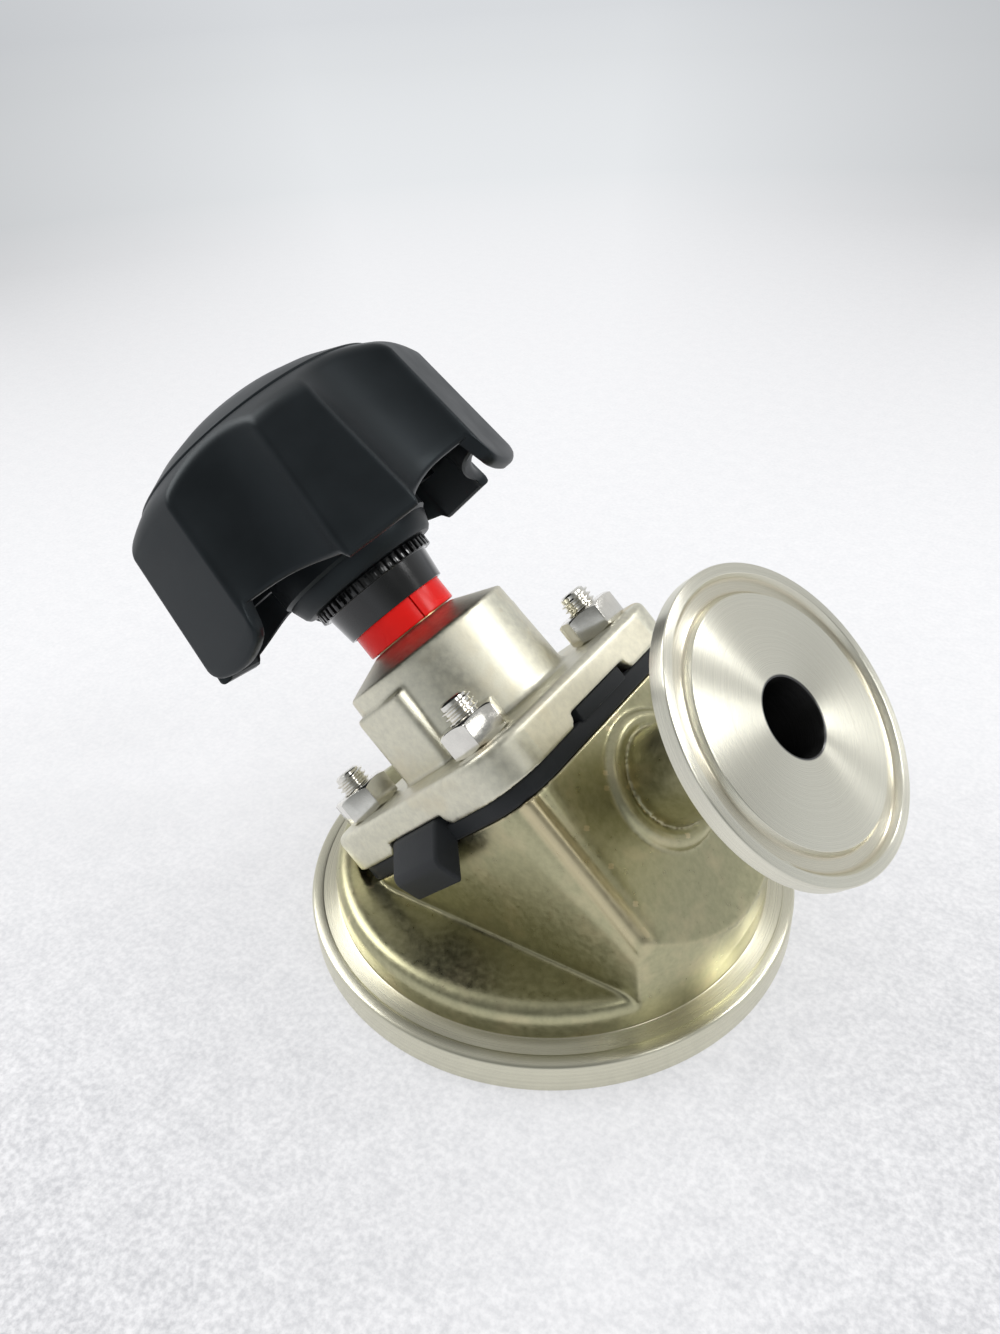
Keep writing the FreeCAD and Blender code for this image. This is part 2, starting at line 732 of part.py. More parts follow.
def indicator_sleeve_local():
    solid = turned([
        (SLEEVE_IN_R, SLEEVE_LOW_S),
        (SLEEVE_LOW_R, SLEEVE_LOW_S),
        (SLEEVE_WAIST_R, SLEEVE_WAIST_S),
        (SERRATION_R, SLEEVE_WAIST_S),
        (SERRATION_R, SERRATION_TOP_S),
        (SPIGOT_R, SERRATION_TOP_S),
        (SPIGOT_R, SPIGOT_TOP_S),
        (SLEEVE_IN_R, SPIGOT_TOP_S),
    ])
    teeth = []
    pitch = 360.0 / SERRATIONS
    depth_r = SERRATION_R - SERRATION_DEPTH
    half_gap = SERRATION_R * math.radians(pitch) * 0.3
    for k in range(SERRATIONS):
        gap = face_of([
            point(depth_r, 0, SLEEVE_WAIST_S - 1),
            point(SERRATION_R + 1, half_gap * 1.8, SLEEVE_WAIST_S - 1),
            point(SERRATION_R + 1, -half_gap * 1.8, SLEEVE_WAIST_S - 1),
        ]).extrude(point(0, 0, SERRATION_TOP_S + 2 - SLEEVE_WAIST_S))
        gap.rotate(point(0, 0, 0), point(0, 0, 1), k * pitch)
        teeth.append(gap)
    return solid.cut(Part.makeCompound(teeth))


# Handwheel

def half_angles(share):
    # Narrow and wide lobes take turns round the handwheel
    narrow = NARROW_LOW_HALF_ANGLE + share * (NARROW_TOP_HALF_ANGLE - NARROW_LOW_HALF_ANGLE)
    return [narrow, WIDE_HALF_ANGLE]


def valley_angle(k, share):
    # Where the flute after lobe k is deepest
    angles = half_angles(share)
    centre = LOBE_ANGLE + k * 360.0 / LOBES
    return centre + 180.0 / LOBES + (angles[k % 2] - angles[(k + 1) % 2]) / 2


def on_circle(radius, degrees, level):
    turn = math.radians(degrees)
    return point(radius * math.cos(turn), radius * math.sin(turn), level)


def lobed_wire(level, share, lobe_r, flute_r):
    # Flat lobes joined by hollow flutes
    steps = []
    pitch = 360.0 / LOBES
    angles = half_angles(share)
    for k in range(LOBES):
        centre = LOBE_ANGLE + k * pitch
        here = angles[k % 2]
        there = angles[(k + 1) % 2]
        steps.append(on_circle(lobe_r, centre - here, level))
        steps.append(on_circle(lobe_r, centre + here, level))
        hollow = on_circle(flute_r, valley_angle(k, share), level)
        steps.append((hollow, on_circle(lobe_r, centre + pitch - there, level)))
    return Part.Wire(edges_of(steps))


def lobed_solid(inset, low, high):
    # The handwheel's outside, or its hollow when inset is the wall
    wires = []
    for level in (low, high):
        share = (level - LOBE_LOW_S) / (LOBE_TOP_S - LOBE_LOW_S)
        lobe_r = LOBE_LOW_R + share * (LOBE_TOP_R - LOBE_LOW_R) - inset
        flute_r = FLUTE_LOW_R + share * (FLUTE_TOP_R - FLUTE_LOW_R) - inset
        wires.append(lobed_wire(level, share, lobe_r, flute_r))
    return Part.makeLoft(wires, True, True)


def dome_envelope():
    # The domed top with its rounded shoulder
    centre_s = DOME_TOP_S - KNOB_DOME_R
    rim_r = 30.0
    rim_s = centre_s + math.sqrt(KNOB_DOME_R ** 2 - rim_r ** 2)
    mid_r = rim_r / 2
    mid_s = centre_s + math.sqrt(KNOB_DOME_R ** 2 - mid_r ** 2)
    profile = [
        (0, LOBE_LOW_S - 1),
        (LOBE_LOW_R + 2, LOBE_LOW_S - 1),
        (LOBE_LOW_R + 2, rim_s - 5.5),
        (rim_r + 1.6, rim_s - 1.6),
        (rim_r, rim_s),
        (mid_r, mid_s, 0, DOME_TOP_S),
    ]
    return turned(profile)


def arch(k):
    # The raised lower edge of the skirt between two lobes, higher beside the wide lobe
    gap = 360.0 / LOBES - sum(half_angles(0))
    reach = LOBE_LOW_R * math.sin(math.radians(gap / 2))
    side = 1 if k % 2 == 0 else -1
    corner = WIDE_LOBE_CORNER
    low = LOBE_LOW_S
    near = low + corner * (1 - math.sqrt(0.5))
    across = reach + corner * (1 - math.sqrt(0.5))
    cutter = face_of([
        point(18, -side * reach, low - 2),
        point(18, -side * reach, ARCH_LOW_S),
        (point(18, -side * reach * 0.2, ARCH_MID_S), point(18, side * reach, ARCH_HIGH_S)),
        point(18, side * reach, low + corner),
        (point(18, side * across, near), point(18, side * (reach + corner), low - 0.01)),
        point(18, side * (reach + corner), low - 2),
    ]).extrude(point(30, 0, 0))
    cutter.rotate(point(0, 0, 0), point(0, 0, 1), valley_angle(k, 0))
    return cutter


def handwheel_ribs():
    ribs = []
    for k in range(LOBES):
        rib = block(HUB_WALL_R - 1, FLUTE_LOW_R - WALL + 1, -RIB / 2, RIB / 2, RIB_LOW_S, ROOF_S + 1)
        rib.rotate(point(0, 0, 0), point(0, 0, 1), LOBE_ANGLE + k * 360.0 / LOBES)
        ribs.append(rib)
    return ribs


def handwheel_hub():
    return turned([
        (0, HUB_COLLAR_LOW_S),
        (HUB_COLLAR_LOW_R - 0.5, HUB_COLLAR_LOW_S),
        (HUB_COLLAR_LOW_R, HUB_COLLAR_LOW_S + 0.5),
        (HUB_COLLAR_R, HUB_COLLAR_S),
        (HUB_WALL_R, HUB_COLLAR_S + 0.6),
        (HUB_WALL_R, ROOF_S + 1),
        (0, ROOF_S + 1),
    ])


def cap_seat():
    # A ball offset inwards from the dome, which leaves the cap's own thickness
    centre_s = DOME_TOP_S - KNOB_DOME_R
    below = Part.makeSphere(KNOB_DOME_R - CAP_T, point(0, 0, centre_s))
    return drum(CAP_R, LOBE_LOW_S, DOME_TOP_S + 2).cut(below).common(drum(CAP_R, ROOF_S, DOME_TOP_S + 2))


def handwheel_local():
    shell = lobed_solid(0, LOBE_LOW_S, LOBE_TOP_S + 6).common(dome_envelope())
    hollow = lobed_solid(WALL, LOBE_LOW_S - 1, ROOF_S)
    for k in range(LOBES):
        shell = shell.cut(arch(k))
    solid = fused([shell.cut(hollow), handwheel_hub()] + handwheel_ribs())
    solid = solid.cut(drum(SPIGOT_R, HUB_COLLAR_LOW_S - 1, SPIGOT_TOP_S))
    square_half = SQUARE_AF / 2
    solid = solid.cut(block(-square_half, square_half, -square_half, square_half, SPIGOT_TOP_S - 1, SPINDLE_TOP_S))
    solid = solid.cut(drum(SCREW_WELL_R, SPINDLE_TOP_S, DOME_TOP_S + 1))
    return solid.cut(cap_seat())


def handwheel_cap_local():
    centre_s = DOME_TOP_S - KNOB_DOME_R
    proud = 0.35
    ball = Part.makeSphere(KNOB_DOME_R + proud, point(0, 0, centre_s))
    below = Part.makeSphere(KNOB_DOME_R - CAP_T, point(0, 0, centre_s))
    return drum(CAP_R, ROOF_S, DOME_TOP_S + 2).common(ball).cut(below)


def handwheel_washer_local():
    return tube(SCREW_R + 0.2, HANDWHEEL_WASHER_R, SPINDLE_TOP_S, SPINDLE_TOP_S + HANDWHEEL_WASHER_H)


def handwheel_screw_local():
    seat = SPINDLE_TOP_S + HANDWHEEL_WASHER_H
    solid = fused([
        drum(SCREW_R, SPINDLE_TOP_S - SCREW_LENGTH, seat + 1),
        drum(SCREW_HEAD_R, seat, seat + SCREW_HEAD_H),
    ])
    socket = []
    for k in range(6):
        turn = math.radians(60 * k)
        socket.append(point(2.3 * math.cos(turn), 2.3 * math.sin(turn), seat + SCREW_HEAD_H - 2.4))
    return solid.cut(face_of(socket).extrude(point(0, 0, 4)))


def save(name, shape):
    shape.exportStep(os.path.join("parts", name + ".step"))


def main():
    os.makedirs("parts", exist_ok=True)
    save("valve_body", valve_body())
    leaning = {
        "diaphragm": diaphragm_local(),
        "diaphragm_stud": diaphragm_stud_local(),
        "compressor": compressor_local(),
        "compressor_pins": Part.makeCompound(compressor_pins_local()),
        "thrust_washer": thrust_washer_local(),
        "spindle": spindle_local(),
        "bonnet": bonnet_local(),
        "bonnet_studs": Part.makeCompound(at_studs(stud())),
        "bonnet_nuts": Part.makeCompound(at_studs(nut())),
        "spindle_bush": spindle_bush_local(),
        "bush_o_ring": bush_o_ring_local(),
        "spindle_o_ring": spindle_o_ring_local(),
        "spindle_wiper": spindle_wiper_local(),
        "indicator_ring": indicator_ring_local(),
        "ring_circlip": ring_circlip_local(),
        "indicator_sleeve": indicator_sleeve_local(),
        "handwheel": handwheel_local(),
        "handwheel_cap": handwheel_cap_local(),
        "handwheel_washer": handwheel_washer_local(),
        "handwheel_screw": handwheel_screw_local(),
    }
    for name, shape in leaning.items():
        save(name, leaned(shape))


main()
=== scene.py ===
"""Dresses the tank bottom valve: a weir diaphragm valve with clamp ferrules and a lobed handwheel."""
import logging
import math
from dataclasses import dataclass
from enum import Enum
from typing import Callable, Optional, Sequence

import bmesh
import bpy
from bmesh.types import BMEdge, BMVert
from mathutils import Matrix, Vector


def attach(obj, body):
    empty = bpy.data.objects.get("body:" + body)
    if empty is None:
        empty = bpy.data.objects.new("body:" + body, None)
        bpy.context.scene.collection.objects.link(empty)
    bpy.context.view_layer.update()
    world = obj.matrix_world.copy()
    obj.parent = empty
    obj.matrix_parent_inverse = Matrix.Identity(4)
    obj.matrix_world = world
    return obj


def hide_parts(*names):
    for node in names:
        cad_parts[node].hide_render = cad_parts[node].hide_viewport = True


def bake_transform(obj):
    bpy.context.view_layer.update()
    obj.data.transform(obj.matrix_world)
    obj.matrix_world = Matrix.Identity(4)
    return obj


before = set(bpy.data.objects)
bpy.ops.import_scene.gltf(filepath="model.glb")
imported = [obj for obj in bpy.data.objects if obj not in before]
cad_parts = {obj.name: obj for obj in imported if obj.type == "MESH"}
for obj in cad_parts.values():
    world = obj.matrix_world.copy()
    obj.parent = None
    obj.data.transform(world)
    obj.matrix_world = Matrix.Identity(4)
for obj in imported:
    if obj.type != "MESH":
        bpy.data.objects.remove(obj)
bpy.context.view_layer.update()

log = logging.getLogger("tank_bottom_valve")
Object = bpy.types.Object
Socket = bpy.types.NodeSocket
Inputs = bpy.types.NodeInputs
Outputs = bpy.types.NodeOutputs
Triple = tuple[float, float, float]
MM = 0.001
CROSSING = (0.0044, 0.0, 0.0181)        # where the bonnet's axis meets the outlet's, in metres
OUTLET_WAY = (0.7071, 0.0, 0.7071)
BONNET_WAY = (-0.7071, 0.0, 0.7071)
BLOCK_RIDGE = (0.02080, 0.02315, 0.03450)  # a point on the ridge of the block's corner, in metres
TANK_BORE_R = 17.0
BORE_R = 6.35
STUD_PITCH = 37.0
SEAT_S = 13.8
RUBBER_TOP_S = 16.9
FLANGE_TOP_S = 24.1


class Place(Enum):
    """The three directions that turned pieces are made along."""

    UPRIGHT = "upright"
    BONNET = "bonnet"
    OUTLET = "outlet"

    def matrix(self) -> Matrix:
        """Works out where a piece's own frame stands.

        Returns:
            The move from its millimetres to the object's metres.
        """
        scale = Matrix.Scale(MM, 4)
        if self is Place.UPRIGHT:
            return scale
        lean = Matrix.Translation(CROSSING) @ Matrix.Rotation(math.radians(-45), 4, "Y")
        if self is Place.BONNET:
            return lean @ scale
        return lean @ Matrix.Rotation(math.radians(90), 4, "Y") @ scale


class Join(Enum):
    """How pieces are put together."""

    UNION = "UNION"
    DIFFERENCE = "DIFFERENCE"
    INTERSECT = "INTERSECT"


@dataclass(frozen=True)
class Corner:
    """One corner of a turned profile.

    Args:
        r: Distance from the axis in mm.
        z: Height along the axis in mm.
        soft: Radius of the rounding in mm.
        steps: Number of runs in the rounding.
    """

    r: float
    z: float
    soft: float = 0.0
    steps: int = 5


def drum(radius: float, low: float, high: float) -> list[Corner]:
    """Returns the profile of a plain cylinder."""
    return [Corner(0.0, low), Corner(radius, low), Corner(radius, high), Corner(0.0, high)]


def gasket_groove(radius: float, face: float, depth: float, lip: float, foot: float) -> list[Corner]:
    """Draws a ferrule's gasket groove.

    Args:
        radius: The groove's middle radius in mm.
        face: The height of the ferrule's face.
        depth: How far the groove goes from the face, with its sign.
        lip: The rounding of its lips.
        foot: The rounding at its bottom.

    Returns:
        Its corners, from the inner lip outwards.
    """
    half, half_foot = 1.75, 1.1
    return [
        Corner(radius - half, face, lip), Corner(radius - half_foot, face + depth, foot),
        Corner(radius + half_foot, face + depth, foot), Corner(radius + half, face, lip),
    ]


def eased(start: Vector, middle: Vector, end: Vector, t: float) -> Vector:
    """Returns a point on the curve from start to end that heads for the middle."""
    return start * (1 - t) ** 2 + middle * 2 * t * (1 - t) + end * t * t


def softened(corners: Sequence[Corner], closed: bool) -> list[Vector]:
    """Rounds the corners of a profile.

    Args:
        corners: The profile's corners in order.
        closed: Whether the last corner joins the first.

    Returns:
        The points of the rounded profile, as x and z.
    """
    points: list[Vector] = []
    spots = [Vector((corner.r, 0.0, corner.z)) for corner in corners]
    last = len(corners) - 1
    for i, (corner, here) in enumerate(zip(corners, spots)):
        if corner.soft <= 0 or (not closed and i in (0, last)):
            points.append(here)
            continue
        before = spots[i - 1] - here
        after = spots[(i + 1) % len(spots)] - here
        reach = corner.soft / math.tan(before.angle(after) / 2)
        reach = min(reach, before.length * 0.49, after.length * 0.49)
        start = here + before.normalized() * reach
        end = here + after.normalized() * reach
        points += [eased(start, here, end, k / corner.steps) for k in range(corner.steps + 1)]
    return points


def of_kind(geometry: Sequence, kind: type) -> list:
    """Returns what is of one kind among vertices, edges and faces."""
    return [item for item in geometry if isinstance(item, kind)]


def outline_at(x: float, pairs: Sequence[tuple[float, float]]) -> list[Vector]:
    """Returns an outline that lies square to the x axis."""
    return [Vector((x, y, z)) for y, z in pairs]


def rounded_square(half: float, corner: float, level: float, steps: int = 8) -> list[Vector]:
    """Draws a square with round corners.

    Args:
        half: Half its width in mm.
        corner: Its corner radius in mm.
        level: Its height.
        steps: Number of runs in each corner.

    Returns:
        Its points in order.
    """
    points = []
    flat = half - corner
    for sx, sy, start in ((1, 1, 0), (-1, 1, 90), (-1, -1, 180), (1, -1, 270)):
        for k in range(steps + 1):
            turn = math.radians(start + 90 * k / steps)
            x, y = sx * flat + corner * math.cos(turn), sy * flat + corner * math.sin(turn)
            points.append(Vector((x, y, level)))
    return points


class Shape:
    """A mesh in millimetres on its way to becoming one finished piece. Its steps return the shape."""

    def __init__(self) -> None:
        """Starts with nothing."""
        self.bm = bmesh.new()

    def wire(self, points: Sequence[Vector], closed: bool) -> list:
        """Lays a run of edges.

        Args:
            points: The points of the run.
            closed: Whether the run closes on itself.

        Returns:
            The new vertices and edges.
        """
        verts = [self.bm.verts.new(p) for p in points]
        ends = zip(verts, verts[1:] + verts[:1]) if closed else zip(verts, verts[1:])
        return verts + [self.bm.edges.new(pair) for pair in ends]

    def spun(
        self, geometry: Sequence, angle: float, steps: int, climb: float = 0.0, merge: bool = False
    ) -> "Shape":
        """Spins geometry about the vertical.

        Args:
            geometry: What is spun.
            angle: The whole turn in radians.
            steps: Number of steps in the turn.
            climb: How far each step rises.
            merge: Whether the end joins the start.

        Returns:
            The shape.
        """
        bmesh.ops.spin(
            self.bm, geom=geometry, cent=(0, 0, 0), axis=(0, 0, 1), dvec=(0, 0, climb),
            angle=angle, steps=steps, use_merge=merge, use_duplicate=False,
        )
        return self

    def lathe(self, corners: Sequence[Corner], segments: int = 160, closed: bool = False) -> "Shape":
        """Turns a profile all the way round.

        Args:
            corners: The profile; an open one starts and ends on the axis.
            segments: Number of segments round the turn.
            closed: Whether the profile is a loop clear of the axis.

        Returns:
            The shape.
        """
        self.spun(self.wire(softened(corners, closed), closed), 2 * math.pi, segments, merge=True)
        bmesh.ops.remove_doubles(self.bm, verts=self.bm.verts, dist=1e-4)
        bmesh.ops.dissolve_degenerate(self.bm, dist=1e-5, edges=self.bm.edges)
        return self

    def drawn_out(self, depth: Sequence[float]) -> "Shape":
        """Extrudes the shape's flat face."""
        made = bmesh.ops.extrude_face_region(self.bm, geom=list(self.bm.faces))
        return self.moved(depth, of_kind(made["geom"], BMVert))

    def prism(self, outline: Sequence[Vector], depth: Sequence[float]) -> "Shape":
        """Extrudes a flat outline."""
        self.bm.faces.new([self.bm.verts.new(p) for p in outline])
        return self.drawn_out(depth)

    def box(self, low: Sequence[float], high: Sequence[float]) -> "Shape":
        """Adds a block between two corners.

        Args:
            low: Its lowest corner.
            high: Its highest corner.

        Returns:
            The shape.
        """
        verts = bmesh.ops.create_cube(self.bm, size=1.0)["verts"]
        bmesh.ops.scale(self.bm, verts=verts, vec=[b - a for a, b in zip(low, high)])
        return self.moved([(a + b) / 2 for a, b in zip(low, high)], verts)

    def boxes_round(
        self, count: int, first: float, low: Sequence[float], high: Sequence[float], soft: float = 0.0
    ) -> "Shape":
        """Adds equal blocks in a ring about the vertical.

        Args:
            count: Number of blocks.
            first: The first one's angle in degrees.
            low: The lowest corner of a block along x.
            high: Its highest corner.
            soft: The rounding of its outer edges in mm.

        Returns:
            The shape.
        """
        outer = high[0] - 0.1
        for k in range(count):
            before = set(self.bm.verts)
            self.box(low, high)
            if soft:
                fresh = set(self.bm.verts) - before
                self.bevelled(
                    soft, 2, lambda e: fresh.issuperset(e.verts) and min(v.co.x for v in e.verts) > outer,
                )
            self.turned(first + k * 360 / count, [v for v in self.bm.verts if v not in before])
        return self

    def moved(self, by: Sequence[float], verts: Optional[Sequence] = None) -> "Shape":
        """Moves vertices."""
        bmesh.ops.translate(self.bm, verts=self.bm.verts if verts is None else verts, vec=by)
        return self

    def turned(self, degrees: float, verts: Optional[Sequence] = None) -> "Shape":
        """Turns vertices about the vertical.

        Args:
            degrees: The angle.
            verts: The vertices to turn; all of them if left out.

        Returns:
            The shape.
        """
        bmesh.ops.rotate(
            self.bm, verts=self.bm.verts if verts is None else verts, cent=(0, 0, 0),
            matrix=Matrix.Rotation(math.radians(degrees), 3, "Z"),
        )
        return self

    def bevelled(self, width: float, segments: int, pick: Callable[[BMEdge], bool]) -> "Shape":
        """Rounds chosen edges.

        Args:
            width: The rounding in mm.
            segments: Number of segments in the rounding.
            pick: Says whether an edge is rounded.

        Returns:
            The shape.
        """
        edges = [e for e in self.bm.edges if len(e.link_faces) == 2 and pick(e)]
        bmesh.ops.bevel(
            self.bm, geom=edges, offset=width, offset_type="OFFSET", affect="EDGES",
            segments=segments, profile=0.5, material=-1,
        )
        return self

    def wrapped(self) -> "Shape":
        """Adds a UV map that runs round the vertical axis and along the profile.

        Returns:
            The shape.
        """
        layer = self.bm.loops.layers.uv.new("turn")
        for face in self.bm.faces:
            middle = face.calc_center_median()
            centre = math.atan2(middle.y, middle.x)
            for loop in face.loops:
                co = loop.vert.co
                radius = math.hypot(co.x, co.y)
                angle = math.atan2(co.y, co.x) if radius > 1e-6 else centre
                if angle - centre > math.pi:
                    angle -= 2 * math.pi
                if angle - centre < -math.pi:
                    angle += 2 * math.pi
                loop[layer].uv = (angle / (2 * math.pi), (radius + co.z) / 10.0)
        return self

    def object(self, name: str, place: Place, sharp: float = 35.0) -> Object:
        """Makes the finished object, in metres, and links it to the scene.

        Args:
            name: The piece's name.
            place: Where its own frame stands.
            sharp: Angle in degrees above which an edge stays sharp.

        Returns:
            The new object.
        """
        bmesh.ops.transform(self.bm, matrix=place.matrix(), verts=self.bm.verts)
        bmesh.ops.recalc_face_normals(self.bm, faces=self.bm.faces)
        mesh = bpy.data.meshes.new(name)
        self.bm.to_mesh(mesh)
        self.bm.free()
        obj = bpy.data.objects.new(name, mesh)
        bpy.context.scene.collection.objects.link(obj)
        smooth_mesh(mesh, sharp)
        return obj


def smooth_mesh(mesh: bpy.types.Mesh, sharp: float) -> None:
    """Shades a mesh smooth, apart from its sharp edges."""
    mesh.shade_smooth()
    mesh.set_sharp_from_angle(angle=math.radians(sharp))


def baked(obj: Object, sharp: float = 180.0) -> Object:
    """Makes an object's modifiers part of its mesh.

    Args:
        obj: The object.
        sharp: Angle in degrees above which an edge stays sharp.

    Returns:
        The same object with its modifiers applied.
    """
    bpy.context.view_layer.update()
    view = bpy.context.evaluated_depsgraph_get()
    mesh = bpy.data.meshes.new_from_object(obj.evaluated_get(view))
    old = obj.data
    obj.modifiers.clear()
    obj.data = mesh
    bpy.data.meshes.remove(old)
    mesh.name = obj.name
    smooth_mesh(mesh, sharp)
    return obj


def combined(base: Object, tools: Sequence[Object], how: Join) -> Object:
    """Joins tools to a base, or cuts the base with them.

    Args:
        base: The object that is kept.
        tools: The objects that work on it; they are removed afterwards.
        how: What is done with them.

    Returns:
        The base with the result as its mesh.
    """
    for tool in tools:
        step = base.modifiers.new(how.name.lower(), "BOOLEAN")
        step.operation = how.value
        step.solver = "EXACT"
        step.object = tool
    baked(base)
    for tool in tools:
        mesh = tool.data
        bpy.data.objects.remove(tool)
        bpy.data.meshes.remove(mesh)
    return base


def cast_surface(obj: Object, name: str, voxel: float, rounds: int) -> Object:
    """Gives a rough union the soft edges of a casting.

    Args:
        obj: The object.
        name: Its name from here on.
        voxel: The size of the new mesh's faces in mm.
        rounds: How many times the surface is smoothed.

    Returns:
        The same object with its new mesh.
    """
    obj.name = name
    remesh = obj.modifiers.new("skin", "REMESH")
    remesh.mode = "VOXEL"
    remesh.voxel_size = voxel * MM
    ease = obj.modifiers.new("ease", "SMOOTH")
    ease.factor = 0.5
    ease.iterations = rounds
    return baked(obj)


class Nodes:
    """Adds and links shader nodes. A value may be a socket, a number, or three numbers."""

    def __init__(self, tree: bpy.types.NodeTree) -> None:
        """Keeps the tree that the nodes go into."""
        self.tree = tree

    def feed(self, value: object, socket: Socket) -> None:
        """Links a value to an input, or sets it there.

        Args:
            value: The value.
            socket: The input.
        """
        if isinstance(value, Socket):
            self.tree.links.new(value, socket)
        else:
            socket.default_value = (*value, 1.0) if socket.type == "RGBA" else value

    def add(self, kind: str, feeds: Optional[dict] = None, **values: object) -> bpy.types.Node:
        """Adds a node.

        Args:
            kind: The node's type name.
            feeds: What goes into its inputs, by name or number.
            values: Properties of the node.

        Returns:
            The new node.
        """
        node = self.tree.nodes.new(kind)
        for name, value in values.items():
            setattr(node, name, value)
        for key, value in (feeds or {}).items():
            self.feed(value, node.inputs[key])
        return node

    def coords(self, kind: str = "Object") -> Socket:
        """Returns one kind of texture coordinates."""
        return self.add("ShaderNodeTexCoord").outputs[kind]

    def bend(self) -> Socket:
        """Returns how far the surface bends: above a half on ridges and below it in hollows."""
        return self.add("ShaderNodeNewGeometry").outputs["Pointiness"]

    def math(self, how: str, a: object, b: object = 0.0) -> Socket:
        """Works out a number."""
        return self.add("ShaderNodeMath", {0: a, 1: b}, operation=how).outputs[0]

    def vector(self, how: str, a: object, b: object = (0.0, 0.0, 0.0)) -> Socket:
        """Works out a vector, or the number that a length or dot product gives."""
        node = self.add("ShaderNodeVectorMath", {0: a, 1: b}, operation=how)
        return node.outputs["Value" if how in ("LENGTH", "DOT_PRODUCT") else "Vector"]

    def noise(self, vector: object, scale: object, detail: float, rough: float) -> Socket:
        """Returns noise from 0 to 1."""
        feeds = {"Vector": vector, "Scale": scale, "Detail": detail, "Roughness": rough}
        return self.add("ShaderNodeTexNoise", feeds).outputs["Fac"]

    def spread(
        self, value: object, low: float, high: float, to_low: float = 0.0, to_high: float = 1.0
    ) -> Socket:
        """Maps one range to another, held at its ends."""
        feeds = {"Value": value, "From Min": low, "From Max": high, "To Min": to_low, "To Max": to_high}
        return self.add("ShaderNodeMapRange", feeds, clamp=True).outputs["Result"]

    def away(self, place: object, point: Sequence[float], way: Sequence[float]) -> Socket:
        """Returns how far a place is from a line, in metres."""
        return self.vector("LENGTH", self.vector("CROSS_PRODUCT", self.vector("SUBTRACT", place, point), way))

    def mix(self, mask: object, a: object, b: object) -> Socket:
        """Mixes two colours.

        Args:
            mask: The mask, from 0 to 1.
            a: The colour at 0.
            b: The colour at 1.

        Returns:
            The mixed colour.
        """
        node = self.add("ShaderNodeMix", data_type="RGBA")
        for name, value in (("Factor_Float", mask), ("A_Color", a), ("B_Color", b)):
            self.feed(value, next(s for s in node.inputs if s.identifier == name))
        return next(s for s in node.outputs if s.identifier == "Result_Color")

    def mix_shader(self, mask: object, a: bpy.types.Node, b: bpy.types.Node) -> Socket:
        """Mixes two shaders."""
        return self.add("ShaderNodeMixShader", {0: mask, 1: a.outputs[0], 2: b.outputs[0]}).outputs[0]


class Effect:
    """A shader node group that several finishes share."""

    name = "effect"
    inputs: tuple[str, ...] = ()

    def group(self) -> bpy.types.NodeTree:
        """Builds the group the first time that it is asked for.

        Returns:
            The group.
        """
        known = bpy.data.node_groups.get(self.name)
        if known:
            return known
        tree = bpy.data.node_groups.new(self.name, "ShaderNodeTree")
        tree.interface.new_socket(name="Vector", in_out="INPUT", socket_type="NodeSocketVector")
        for name in self.inputs:
            tree.interface.new_socket(name=name, in_out="INPUT", socket_type="NodeSocketFloat")
        nodes = Nodes(tree)
        made = self.fill(nodes, nodes.add("NodeGroupInput").outputs)
        for name in made:
            tree.interface.new_socket(name=name, in_out="OUTPUT", socket_type="NodeSocketFloat")
        nodes.add("NodeGroupOutput", made)
        return tree

    def fill(self, nodes: Nodes, given: Outputs) -> dict[str, Socket]:
        """Builds the group's inside."""
        raise NotImplementedError

    def use(self, nodes: Nodes, vector: Socket, **values: float) -> Outputs:
        """Places the group in a material and returns its outputs."""
        return nodes.add("ShaderNodeGroup", {"Vector": vector, **values}, node_tree=self.group()).outputs


class CastGrain(Effect):
    """The fine pebbled skin and slow waves of a blasted casting."""

    name = "cast grain"
    inputs = ("Grain", "Waves")

    def fill(self, nodes: Nodes, given: Outputs) -> dict[str, Socket]:
        """Adds two sizes of noise for height, and slower ones for shade and stain.

        Args:
            nodes: The group's nodes.
            given: The group's inputs.

        Returns:
            What the group gives, by name.
        """
        vector, grain, waves = (given[name] for name in ("Vector", "Grain", "Waves"))
        fine = nodes.math("MULTIPLY", nodes.noise(vector, grain, 3.0, 0.6), 0.35)
        return {
            "Height": nodes.math("ADD", fine, nodes.noise(vector, waves, 2.0, 0.5)),
            "Shade": nodes.noise(vector, nodes.math("MULTIPLY", grain, 0.3), 4.0, 0.6),
            "Stain": nodes.noise(vector, nodes.math("MULTIPLY", waves, 0.6), 3.0, 0.6),
        }


class TurnedLines(Effect):
    """The fine rings that a lathe tool leaves, read from a UV map that runs round the piece."""

    name = "turned lines"
    inputs = ("Pitch",)

    def fill(self, nodes: Nodes, given: Outputs) -> dict[str, Socket]:
        """Stretches noise along the turn, so that it varies only across it.

        Args:
            nodes: The group's nodes.
            given: The group's inputs.

        Returns:
            What the group gives, by name.
        """
        along = nodes.add("ShaderNodeSeparateXYZ", {0: given["Vector"]}).outputs["Y"]
        across = nodes.math("MULTIPLY", along, given["Pitch"])
        place = nodes.add("ShaderNodeCombineXYZ", {"Y": across}).outputs[0]
        return {"Height": nodes.noise(place, 1.0, 4.0, 0.7), "Shade": nodes.noise(place, 0.25, 3.0, 0.6)}


